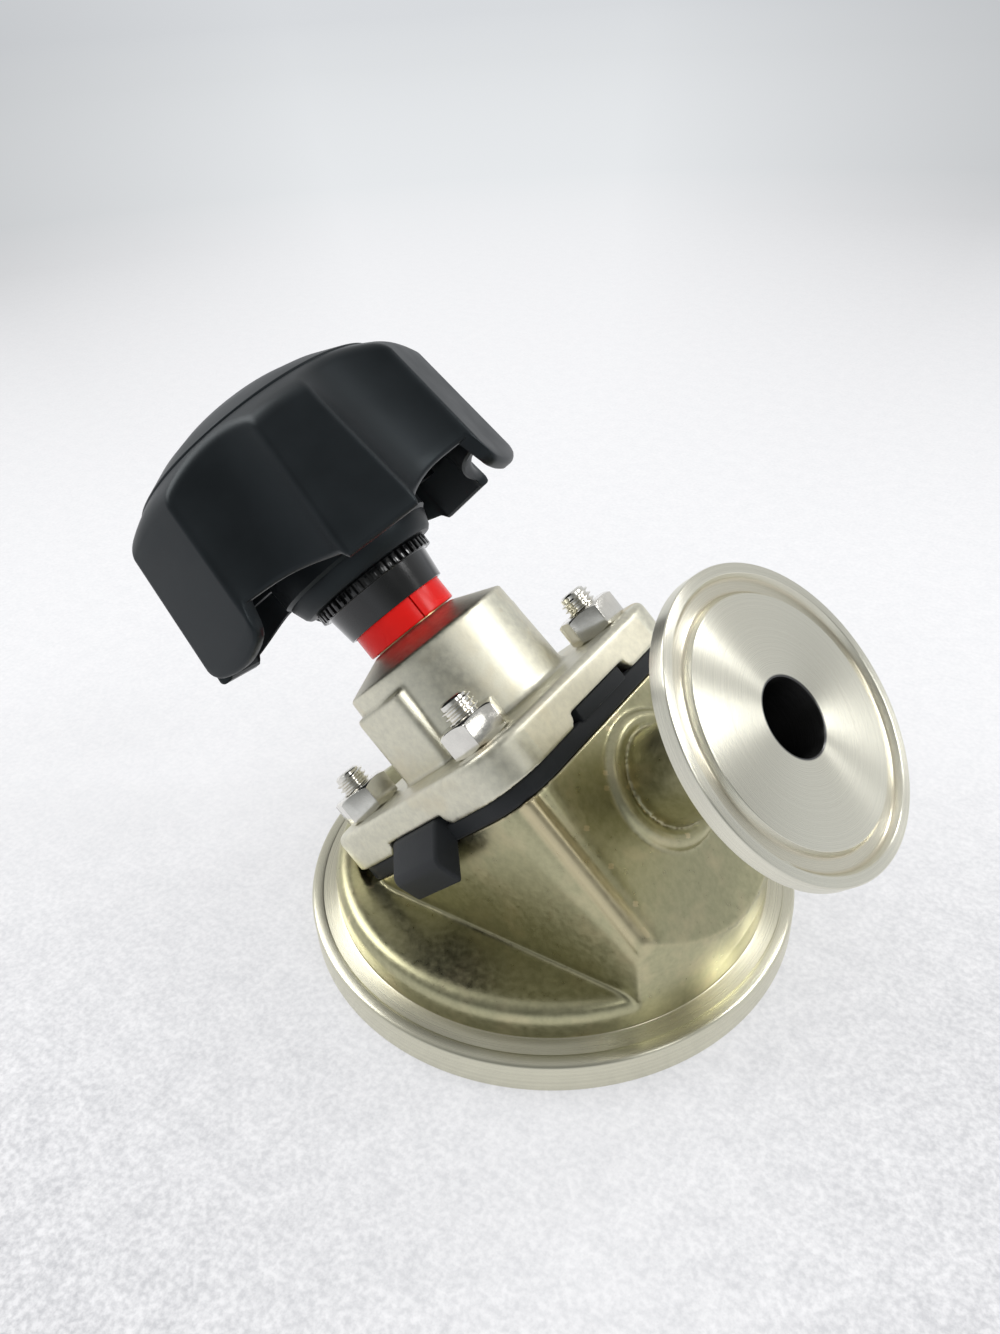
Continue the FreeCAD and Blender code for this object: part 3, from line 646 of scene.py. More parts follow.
class MouldTexture(Effect):
    """The fine matt texture of moulded plastic or rubber with slow variation."""

    name = "mould texture"
    inputs = ("Grain", "Waves")

    def fill(self, nodes: Nodes, given: Outputs) -> dict[str, Socket]:
        """Adds one fine noise for height and one slow noise for shade.

        Args:
            nodes: The group's nodes.
            given: The group's inputs.

        Returns:
            What the group gives, by name.
        """
        return {
            "Height": nodes.noise(given["Vector"], given["Grain"], 3.0, 0.55),
            "Shade": nodes.noise(given["Vector"], given["Waves"], 3.0, 0.5),
        }


@dataclass(frozen=True)
class Finish:
    """What every finish has.

    Args:
        name: The material's name.
        colour: Its colour as linear red, green and blue.
        rough: Its roughness.
    """

    name: str
    colour: Triple
    rough: float

    def material(self) -> bpy.types.Material:
        """Builds the finish's material the first time that it is asked for.

        Returns:
            The material.
        """
        known = bpy.data.materials.get(self.name)
        if known:
            return known
        material = bpy.data.materials.new(self.name)
        material.use_nodes = True
        material.diffuse_color = (*self.colour, 1.0)
        nodes, shader = Nodes(material.node_tree), material.node_tree.nodes["Principled BSDF"].inputs
        nodes.feed(self.rough, shader["Roughness"])
        nodes.feed(self.colour, shader["Base Color"])
        self.paint(nodes, shader)
        return material

    def paint(self, nodes: Nodes, shader: Inputs) -> None:
        """Sets what this finish needs on the shader."""
        raise NotImplementedError

    def scaled(self, factor: float) -> tuple[float, ...]:
        """Returns the colour, darker or lighter by a factor."""
        return tuple(min(1.0, c * factor) for c in self.colour)

    def surface(
        self, nodes: Nodes, shader: Inputs, skin: Outputs, strength: float, depth: float,
        gloss: str = "Shade", spread: tuple[float, float] = (0.04, 0.06),
    ) -> None:
        """Adds uneven roughness and a relief.

        Args:
            nodes: The material's nodes.
            shader: The inputs of its Principled BSDF.
            skin: The outputs of the effect that it follows.
            strength: How strong the relief is.
            depth: The relief's depth in metres.
            gloss: Which output the roughness follows.
            spread: How much smoother and rougher it gets.
        """
        low, high = self.rough - spread[0], self.rough + spread[1]
        nodes.feed(nodes.spread(skin[gloss], 0.3, 0.7, low, high), shader["Roughness"])
        relief = {"Strength": strength, "Distance": depth, "Height": skin["Height"]}
        nodes.feed(nodes.add("ShaderNodeBump", relief).outputs[0], shader["Normal"])


@dataclass(frozen=True)
class CastSteel(Finish):
    """Satin cast stainless steel with a warm tone.

    Args:
        tint: The warmer colour of its stains, and of the reflection painted on its ridges.
        grain: Strength of its pebbled skin.
        edge: How strongly the warm reflection painted on its ridges shows.
    """

    tint: Triple
    grain: float = 0.35
    edge: float = 0.6

    def paint(self, nodes: Nodes, shader: Inputs) -> None:
        """Adds the pebbled skin, slow waves, warm stains, a warm reflection painted on the ridges, painted
        shade in hollows and painted shade inside the flow way.

        Args:
            nodes: The material's nodes.
            shader: The inputs of its Principled BSDF.
        """
        shader["Metallic"].default_value = 1.0
        place = nodes.coords()
        skin = CastGrain().use(nodes, place, Grain=2600.0, Waves=170.0)
        shade = nodes.mix(nodes.spread(skin["Shade"], 0.35, 0.65), self.scaled(0.84), self.colour)
        bend = nodes.bend()
        ridge = nodes.away(nodes.vector("ABSOLUTE", place), BLOCK_RIDGE, BONNET_WAY)
        reach = nodes.away(place, (0.0, 0.0, 0.0), (0.0, 0.0, 1.0))
        near_hub = nodes.spread(reach, 0.0392, 0.0402, 1.0, 0.0)
        # Painted reflection: a warm band along the block's two ridges, near the hub.
        ridge_reflection = nodes.math("MULTIPLY", nodes.spread(ridge, 0.0013, 0.0023, 0.85, 0.0), near_hub)
        # Painted warm reflection on convex edges, joined below with the real warm stains and the ridge band.
        warm = nodes.spread(bend, 0.51, 0.56, 0.0, self.edge)
        for other in (nodes.spread(skin["Stain"], 0.52, 0.75, 0.0, 0.45), ridge_reflection):
            warm = nodes.math("MAXIMUM", warm, other)
        # Painted shade: dark brown in hollows and creases.
        crevice_shade = nodes.spread(bend, 0.45, 0.49, 0.6, 0.0)
        with_painted_light = nodes.mix(crevice_shade, nodes.mix(warm, shade, self.tint), (0.17, 0.145, 0.085))
        # Painted shade: dark grey inside the outlet's bore.
        inside = nodes.spread(nodes.away(place, CROSSING, OUTLET_WAY), 0.0066, 0.0072, 1.0, 0.0)
        nodes.feed(nodes.mix(inside, with_painted_light, (0.10, 0.10, 0.10)), shader["Base Color"])
        self.surface(nodes, shader, skin, self.grain, 0.00012, spread=(0.05, 0.07))


@dataclass(frozen=True)
class TurnedSteel(Finish):
    """Machined stainless steel with fine rings and stretched highlights.

    Args:
        pitch: How many rings there are in 10 mm, about.
        lines: Strength of the rings.
        stretch: How far the highlights stretch, from 0 to 1.
        recess: The colour of the shade painted in grooves and corners.
    """

    pitch: float = 70.0
    lines: float = 0.25
    stretch: float = 0.75
    recess: Triple = (0.58, 0.50, 0.31)

    def paint(self, nodes: Nodes, shader: Inputs) -> None:
        """Adds the rings, and the highlight that is stretched by the UV map's turn.

        Args:
            nodes: The material's nodes.
            shader: The inputs of its Principled BSDF.
        """
        shader["Metallic"].default_value = 1.0
        shader["Anisotropic"].default_value = self.stretch
        shader["Anisotropic Rotation"].default_value = 0.25
        rings = TurnedLines().use(nodes, nodes.coords("UV"), Pitch=self.pitch)
        shade = nodes.mix(nodes.spread(rings["Shade"], 0.3, 0.7), self.scaled(0.86), self.colour)
        # Painted shade in grooves and corners.
        with_painted_light = nodes.mix(nodes.spread(nodes.bend(), 0.455, 0.498, 0.9, 0.0), shade, self.recess)
        # Painted shade: dark grey inside the outlet's bore.
        inside = nodes.spread(nodes.away(nodes.coords(), CROSSING, OUTLET_WAY), 0.0066, 0.0068, 1.0, 0.0)
        nodes.feed(nodes.mix(inside, with_painted_light, (0.12, 0.12, 0.12)), shader["Base Color"])
        tangent = nodes.add("ShaderNodeTangent", direction_type="UV_MAP", uv_map="turn")
        nodes.feed(tangent.outputs[0], shader["Tangent"])
        self.surface(nodes, shader, rings, self.lines, 0.00003, gloss="Height")


@dataclass(frozen=True)
class BrightSteel(Finish):
    """Bright small steel parts, such as nuts and threads."""

    def paint(self, nodes: Nodes, shader: Inputs) -> None:
        """Adds faint scuffs and uneven shine.

        Args:
            nodes: The material's nodes.
            shader: The inputs of its Principled BSDF.
        """
        shader["Metallic"].default_value = 1.0
        skin = CastGrain().use(nodes, nodes.coords(), Grain=5200.0, Waves=420.0)
        scuffs = nodes.spread(skin["Stain"], 0.4, 0.68)
        nodes.feed(nodes.mix(scuffs, self.scaled(0.88), self.colour), shader["Base Color"])
        self.surface(nodes, shader, skin, 0.25, 0.00005, spread=(0.05, 0.07))


@dataclass(frozen=True)
class Moulded(Finish):
    """Moulded plastic or rubber.

    Args:
        grain: Strength of its texture.
        size: How many grains there are in a metre, about.
        sheen: Weight of a soft sheen.
        coat: Weight of a gloss layer.
        shine: Its specular level.
        tone: The colour of its shine.
    """

    grain: float = 0.15
    size: float = 3500.0
    sheen: float = 0.0
    coat: float = 0.0
    shine: float = 0.5
    tone: Triple = (1.0, 1.0, 1.0)

    def paint(self, nodes: Nodes, shader: Inputs) -> None:
        """Adds the mould's texture and a slow change of shade.

        Args:
            nodes: The material's nodes.
            shader: The inputs of its Principled BSDF.
        """
        skin = MouldTexture().use(nodes, nodes.coords(), Grain=self.size, Waves=110.0)
        light = nodes.spread(skin["Shade"], 0.35, 0.7)
        nodes.feed(nodes.mix(light, self.colour, self.scaled(1.35)), shader["Base Color"])
        for name, value in (
            ("Specular IOR Level", self.shine), ("Specular Tint", self.tone), ("Sheen Weight", self.sheen),
            ("Sheen Roughness", 0.4), ("Coat Weight", self.coat), ("Coat Roughness", 0.08),
        ):
            nodes.feed(value, shader[name])
        self.surface(nodes, shader, skin, self.grain, 0.00006)


CAST = CastSteel("cast stainless", (0.49, 0.47, 0.295), 0.32, grain=0.10, tint=(0.78, 0.66, 0.43))
CAST_PALE = CastSteel("pale cast stainless", (0.79, 0.77, 0.64), 0.43, tint=(0.70, 0.62, 0.44), edge=0.25)
TURNED = TurnedSteel("turned stainless", (0.74, 0.72, 0.58), 0.28)
TURNED_FACE = TurnedSteel(
    "turned face", (0.86, 0.84, 0.72), 0.27, pitch=190.0, lines=0.07, stretch=0.90, recess=(0.52, 0.41, 0.21),
)
BRIGHT = BrightSteel("bright stainless", (0.90, 0.88, 0.82), 0.16)
BRONZE = BrightSteel("turned bronze", (0.42, 0.31, 0.17), 0.30)
RUBBER = Moulded(
    "moulded rubber", (0.013, 0.015, 0.017), 0.55, grain=0.35, size=2600.0, sheen=0.06, shine=0.28,
)
SEAL = Moulded("seal rubber", (0.010, 0.010, 0.010), 0.45)
HANDLE = Moulded(
    "handwheel plastic", (0.0080, 0.0095, 0.0110), 0.40, grain=0.10, shine=0.25, tone=(0.80, 0.94, 1.0),
)
GLOSS = Moulded("sleeve plastic", (0.005, 0.0055, 0.006), 0.15, grain=0.02, coat=0.4)
RED = Moulded("ring plastic", (0.86, 0.007, 0.004), 0.27, grain=0.04, coat=0.04, shine=0.2)


def finish(obj: Object, look: Finish, body: Optional[str], slot: str, *nodes: str) -> Object:
    """Gives a new piece its material and its place in the model.

    Args:
        obj: The piece.
        look: Its finish.
        body: The body that it moves with, or None to leave the piece unattached.
        slot: The record's material slot; not used.
        nodes: The CAD nodes that it stands for.

    Returns:
        The piece.
    """
    obj.data.materials.clear()
    obj.data.materials.append(look.material())
    if body:
        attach(obj, body)
    if nodes:
        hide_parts(*nodes)
    log.info("%s: %d faces", obj.name, len(obj.data.polygons))
    return obj


def stud_spots() -> list[Vector]:
    """Returns where the four studs stand."""
    half = STUD_PITCH / 2
    return [Vector((x, y, 0)) for x in (-half, half) for y in (-half, half)]


@dataclass
class TankFerrule:
    """The large turned ferrule with its gasket groove. Sizes in mm."""

    rim_r: float = 45.5
    rim_h: float = 5.95
    back_h: float = 6.6
    hub_r: float = 40.4
    foot_h: float = 8.4
    groove_r: float = 41.75
    step_r: float = 43.2
    step_h: float = 6.18

    def build(self) -> Object:
        """Turns the ferrule as one closed ring.

        Returns:
            The ferrule.
        """
        corners = [
            Corner(TANK_BORE_R, 0.0, 0.25),
            *gasket_groove(self.groove_r, 0.0, 1.25, 0.25, 0.7),
            Corner(self.rim_r, 0.0, 0.45),
            Corner(self.rim_r, self.rim_h, 0.85, 8),
            Corner(self.step_r + 0.35, self.step_h + 0.07),
            Corner(self.step_r, self.step_h, 0.1),
            Corner(self.hub_r - 0.02, self.back_h, 0.35),
            Corner(self.hub_r - 0.4, self.foot_h),
            Corner(TANK_BORE_R, 4.0, 0.2),
        ]
        return Shape().lathe(corners, 256, closed=True).wrapped().object("tank_ferrule", Place.UPRIGHT, 30)

    def dress(self) -> None:
        """Builds the ferrule and gives it its finish."""
        finish(self.build(), TURNED, "valve", "cast_steel", "valve_body")


@dataclass
class OutletFerrule:
    """The small turned ferrule at the neck's end. Sizes in mm."""

    face_u: float = 54.7
    rim_r: float = 25.25
    rim: float = 2.85
    taper: float = 20.0
    taper_r: float = 21.0
    groove_r: float = 21.75
    neck_r: float = 8.64
    neck_u: float = 45.0

    def build(self) -> Object:
        """Turns the ferrule as one closed piece.

        Returns:
            The ferrule.
        """
        back = self.face_u - self.rim - (self.rim_r - self.taper_r) * math.tan(math.radians(self.taper))
        corners = [
            Corner(BORE_R, self.neck_u),
            Corner(self.neck_r, self.neck_u),
            Corner(self.neck_r, back, 3.0, 8),
            Corner(self.taper_r, back, 0.8),
            Corner(self.rim_r, self.face_u - self.rim, 0.3),
            Corner(self.rim_r, self.face_u, 0.35),
            *reversed(gasket_groove(self.groove_r, self.face_u, -1.25, 0.3, 0.75)),
            Corner(BORE_R, self.face_u, 0.25),
        ]
        return Shape().lathe(corners, 224, closed=True).wrapped().object("outlet_ferrule", Place.OUTLET, 30)

    def dress(self) -> None:
        """Builds the ferrule and gives it its finish."""
        finish(self.build(), TURNED_FACE, "valve", "cast_steel")


@dataclass
class BodyCasting:
    """The cast hub and the leaning block that carries the bonnet. Sizes in mm."""

    hub_r: float = 40.4
    hub_low: float = 4.2
    hub_h: float = 12.6
    shoulder: float = 3.22
    top_half: float = 26.2
    top_corner: float = 8.6
    low_s: float = -30.0
    low_half: float = 24.6
    low_corner: float = 2.2
    ridge_r: float = 1.9
    ridge_in: float = 0.75
    bowl_r: float = 16.5
    bowl_s: float = 7.5
    pocket_u: float = 10.55
    pocket_s: float = 10.5
    seat_half: float = 28.0
    seat_corner: float = 9.6
    bore_low_u: float = 4.2
    way_top: Triple = (-8.2, 8.0, 18.4)
    collar_r: float = 10.41
    collar_roll: float = 1.79
    collar_u: float = 25.6
    neck_r: float = 8.62
    neck_end_u: float = 46.0

    def hub(self) -> Object:
        """Turns the round hub.

        Returns:
            The hub.
        """
        corners = drum(self.hub_r, self.hub_low, self.hub_h)
        corners[2] = Corner(self.hub_r, self.hub_h, self.shoulder, 10)
        return Shape().lathe(corners, 240).object("hub", Place.UPRIGHT)

    def block(self) -> Object:
        """Builds the leaning block with its ridges, trimmed to the hub's cylinder.

        Returns:
            The block.
        """
        shape = Shape()
        edges = []
        for ring in (
            rounded_square(self.low_half, self.low_corner, self.low_s),
            rounded_square(self.top_half, self.top_corner, SEAT_S),
        ):
            laid = shape.wire(ring, True)
            edges += of_kind(laid, BMEdge)
            shape.bm.faces.new(of_kind(laid, BMVert))
        bmesh.ops.bridge_loops(shape.bm, edges=edges)
        block = combined(shape.object("block", Place.BONNET), self.ridges(), Join.UNION)
        trim = Shape().lathe(drum(self.hub_r - 0.02, self.hub_low, 80.0), 240).object("trim", Place.UPRIGHT)
        return combined(block, [trim], Join.INTERSECT)

    def ridges(self) -> list[Object]:
        """Builds the cast ridges along the block's two corners below the outlet.

        Returns:
            The two ridges.
        """
        made = []
        cut = 1 - math.sqrt(0.5)
        low = self.low_half - self.low_corner * cut - self.ridge_in
        top = self.top_half - self.top_corner * cut - self.ridge_in
        for side in (-1, 1):
            start, stop = Vector((low, side * low, self.low_s)), Vector((top, side * top, SEAT_S))
            way = stop - start
            turn = way.to_track_quat("Z", "Y").to_matrix().to_4x4()
            shape = Shape()
            bmesh.ops.create_cone(
                shape.bm, cap_ends=True, segments=32, radius1=self.ridge_r, radius2=self.ridge_r,
                depth=way.length, matrix=Matrix.Translation((start + stop) / 2) @ turn,
            )
            made.append(shape.object(f"ridge{side}", Place.BONNET))
        return made

    def neck(self) -> Object:
        """Turns the cast neck with the rolled collar where it leaves the block.

        Returns:
            The neck.
        """
        r, u, size = self.collar_r, self.collar_u, self.collar_roll
        turns = [math.radians(degrees) for degrees in range(0, 181, 15)]
        roll = [Corner(r + size * math.cos(turn), u + size * math.sin(turn)) for turn in turns]
        corners = [
            Corner(0.0, 15.0), Corner(roll[0].r, 15.0), *roll,
            Corner(self.neck_r, self.neck_end_u), Corner(0.0, self.neck_end_u),
        ]
        return Shape().lathe(corners, 120).object("neck", Place.OUTLET)

    def ways(self) -> list[Object]:
        """Builds what is cut out: the bonnet's seat, the bowl and the two flow ways.

        Returns:
            The cutting tools.
        """
        seat = Shape().prism(rounded_square(self.seat_half, self.seat_corner, SEAT_S), (0, 0, 46))
        corners = drum(self.bowl_r, self.bowl_s, SEAT_S + 1)
        corners[1] = Corner(self.bowl_r, self.bowl_s, 3.5)
        bowl = Shape().lathe(corners, 96)
        bore = Shape().lathe(drum(BORE_R, self.bore_low_u, 60.0), 96)
        pocket = Shape().lathe(drum(BORE_R, 0.0, self.pocket_s), 96).moved((self.pocket_u, 0, 0))
        mouth = Shape().lathe(drum(TANK_BORE_R + 0.05, 3.0, 4.2), 96)
        foot, (top_x, top_r, top_z) = 4.0, self.way_top
        tank = Shape().lathe(
            [Corner(0.0, foot), Corner(TANK_BORE_R, foot), Corner(top_r, top_z), Corner(0.0, top_z)], 96,
        )
        lean = Matrix(((1, 0, top_x / (top_z - foot), 0), (0, 1, 0, 0), (0, 0, 1, 0), (0, 0, 0, 1)))
        shift = Matrix.Translation((0, 0, foot))
        bmesh.ops.transform(tank.bm, matrix=shift @ lean @ shift.inverted(), verts=tank.bm.verts)
        return [
            seat.object("seat_cut", Place.BONNET), bowl.object("bowl_cut", Place.BONNET),
            bore.object("bore_cut", Place.OUTLET), pocket.object("pocket_cut", Place.BONNET),
            tank.object("tank_cut", Place.UPRIGHT), mouth.object("mouth_cut", Place.UPRIGHT),
        ]

    def build(self) -> Object:
        """Returns the casting with its soft edges."""
        casting = combined(self.hub(), [self.block(), self.neck()], Join.UNION)
        return cast_surface(combined(casting, self.ways(), Join.DIFFERENCE), "body_casting", 0.36, 7)

    def dress(self) -> None:
        """Builds the casting and gives it its finish."""
        finish(self.build(), CAST, "valve", "cast_steel", "valve_body")


@dataclass
class Bonnet:
    """The cast bonnet: square flange, round boss, side lugs and a conical top. Sizes in mm."""

    half: float = 27.4
    corner: float = 9.0
    notch_half: float = 8.6
    notch_s: float = 19.0
    notch_flare: float = 1.3
    boss_s: float = 41.84
    boss_r: float = 17.0
    foot_r: float = 17.7
    foot_out: float = 20.2
    cone_s: float = 45.3
    cone_r: float = 8.4
    lug_half: float = 7.1
    lug_out: float = 18.3
    lug_s: float = 38.6
    lug_low_s: float = 20.0
    boss_low_s: float = 18.0
    cavity_low_r: float = 16.5
    cavity_low_s: float = 18.9
    cavity_r: float = 13.4
    cavity_s: float = 20.9
    cavity_top_s: float = 30.0
    bush_r: float = 7.0
    stud_hole_r: float = 3.3

    def flange(self) -> Object:
        """Builds the flange plate with its rounded upper edge.

        Returns:
            The flange.
        """
        outline = rounded_square(self.half, self.corner, RUBBER_TOP_S, 12)
        shape = Shape().prism(outline, (0, 0, FLANGE_TOP_S - RUBBER_TOP_S))
        shape.bevelled(1.3, 4, lambda e: all(abs(v.co.z - FLANGE_TOP_S) < 1e-3 for v in e.verts))
        return shape.object("flange", Place.BONNET)

    def boss(self) -> Object:
        """Turns the round boss with its filleted foot and conical top.

        Returns:
            The boss.
        """
        corners = [
            Corner(0.0, self.boss_low_s), Corner(self.foot_out, self.boss_low_s),
            Corner(self.foot_out, FLANGE_TOP_S),
            Corner(self.foot_r, FLANGE_TOP_S, 2.2, 6), Corner(self.boss_r, self.boss_s, 0.45),
            Corner(self.cone_r, self.cone_s, 0.3), Corner(0.0, self.cone_s),
        ]
        return Shape().lathe(corners, 180).object("boss", Place.BONNET)

    def lugs(self) -> list[Object]:
        """Builds the two flat lugs on the boss's sides.

        Returns:
            The lugs.
        """
        made = []
        for turn in (180, 0):
            low = (-self.lug_half, 0, self.lug_low_s)
            shape = Shape().box(low, (self.lug_half, self.lug_out, self.lug_s))
            shape.bevelled(
                1.6, 4, lambda e: all(v.co.y > 1 for v in e.verts) and max(v.co.z for v in e.verts) > 30,
            )
            made.append((shape.turned(turn) if turn else shape).object("lug", Place.BONNET))
        return made

    def cuts(self) -> list[Object]:
        """Builds what is cut out: cavity, notches and stud holes.

        Returns:
            The cutting tools.
        """
        cavity = Shape().lathe([
            Corner(0.0, 14.0), Corner(self.cavity_low_r, 14.0), Corner(self.cavity_low_r, self.cavity_low_s),
            Corner(self.cavity_r, self.cavity_s), Corner(self.cavity_r, self.cavity_top_s),
            Corner(0.0, self.cavity_top_s),
        ], 96)
        bore = Shape().lathe(drum(self.bush_r, 29.0, 46.0), 96)
        made = [cavity.object("cavity", Place.BONNET), bore.object("bush_bore", Place.BONNET)]
        near, wide, low = self.notch_half, self.notch_half + self.notch_flare, RUBBER_TOP_S
        outline = outline_at(19, [
            (-wide, low - 1), (wide, low - 1), (wide, low), (near, low + self.notch_flare),
            (near, self.notch_s), (-near, self.notch_s), (-near, low + self.notch_flare), (-wide, low),
        ])
        for turn in (0, 90, 180, 270):
            made.append(Shape().prism(outline, (20, 0, 0)).turned(turn).object("notch", Place.BONNET))
        for spot in stud_spots():
            hole = Shape().lathe(drum(self.stud_hole_r, 14.0, 26.0), 48).moved(spot)
            made.append(hole.object("stud_hole", Place.BONNET))
        return made

    def build(self) -> Object:
        """Returns the bonnet with its soft cast edges."""
        bonnet = combined(self.flange(), [self.boss()] + self.lugs(), Join.UNION)
        return cast_surface(combined(bonnet, self.cuts(), Join.DIFFERENCE), "bonnet_casting", 0.34, 5)

    def dress(self) -> None:
        """Builds the bonnet and gives it its finish."""
        finish(self.build(), CAST_PALE, "valve", "cast_steel", "bonnet")


@dataclass
class Fasteners:
    """The four studs with their nuts. Sizes in mm."""

    stud_r: float = 3.0
    stud_low: float = 1.0
    pitch: float = 1.0
    depth: float = 0.55
    thread_low: float = 21.0
    thread_high: float = 32.6
    thread_steps: int = 30
    root_share: float = 0.86
    crest_share: float = 0.16
    nut_af: float = 10.0
    nut_in: float = 2.75
    nut_high: float = 29.1
    turns: tuple[float, ...] = (8.0, 21.0, 40.0, 3.0)

    def thread(self, shape: Shape, spot: Vector) -> None:
        """Adds one stud: a plain core with a helical thread wound round its upper end.

        Args:
            shape: The shape that it is added to.
            spot: Where it stands.
        """
        before = set(shape.bm.verts)
        core = self.stud_r - self.depth
        top, low = self.thread_high + 0.2, self.thread_low
        shape.lathe([
            Corner(0.0, self.stud_low), Corner(self.stud_r, self.stud_low, 0.3), Corner(self.stud_r, low),
            Corner(core, low + 0.3), Corner(core, top - 0.4), Corner(core - 0.5, top), Corner(0.0, top),
        ], 40)
        start = low + 0.6
        root, crest = self.pitch / 2 * self.root_share, self.pitch / 2 * self.crest_share
        section = [
            Vector((core - 0.15, 0, start - root)), Vector((self.stud_r, 0, start - crest)),
            Vector((self.stud_r, 0, start + crest)), Vector((core - 0.15, 0, start + root)),
        ]
        steps = int((self.thread_high - 0.55 - start) / self.pitch * self.thread_steps)
        turn = 2 * math.pi * steps / self.thread_steps
        shape.spun(shape.wire(section, True), turn, steps, climb=self.pitch / self.thread_steps)
        bmesh.ops.holes_fill(shape.bm, edges=[e for e in shape.bm.edges if e.is_boundary], sides=6)
        shape.moved(spot, [v for v in shape.bm.verts if v not in before])

    def studs(self) -> Object:
        """Builds the four studs.

        Returns:
            The studs as one object.
        """
        shape = Shape()
        for spot in stud_spots():
            self.thread(shape, spot)
        return shape.object("threaded_studs", Place.BONNET, 40)

    def nut(self, turn: float, spot: Vector) -> Object:
        """Builds one hexagon nut with chamfered corners.

        Args:
            turn: How far it is turned, in degrees.
            spot: Where it stands.

        Returns:
            The nut.
        """
        half = self.nut_af / 2
        corner_r = half / math.cos(math.radians(30))
        hexagon = Shape()
        bmesh.ops.create_circle(hexagon.bm, cap_ends=True, segments=6, radius=corner_r)
        hexagon.moved((0, 0, FLANGE_TOP_S)).drawn_out((0, 0, self.nut_high - FLANGE_TOP_S))
        hexagon.turned(turn).moved(spot)
        low, high = FLANGE_TOP_S - 0.01, self.nut_high - 0.02
        chamfer = Shape().lathe([
            Corner(self.nut_in, low), Corner(half, low), Corner(corner_r + 0.1, FLANGE_TOP_S + 0.5),
            Corner(corner_r + 0.1, self.nut_high - 0.6), Corner(half * 0.98, high), Corner(3.2, high),
            Corner(self.nut_in, self.nut_high - 0.5),
        ], 96, closed=True).moved(spot)
        nut, tool = hexagon.object("hexagon_nut", Place.BONNET), chamfer.object("chamfer", Place.BONNET)
        return combined(nut, [tool], Join.INTERSECT)

    def dress(self) -> None:
        """Builds the studs and nuts and gives them their finish."""
        finish(self.studs(), BRIGHT, "valve", "polished_steel", "bonnet_studs")
        for number, (turn, spot) in enumerate(zip(self.turns, stud_spots())):
            nut = self.nut(turn, spot)
            nut.name = f"hexagon_nut_{number + 1}"
            edge = nut.modifiers.new("edge", "BEVEL")
            edge.width = 0.12 * MM
            edge.segments = 2
            edge.limit_method = "ANGLE"
            edge.angle_limit = math.radians(25)
            finish(baked(nut, 30), BRIGHT, "valve", "polished_steel", "bonnet_nuts")


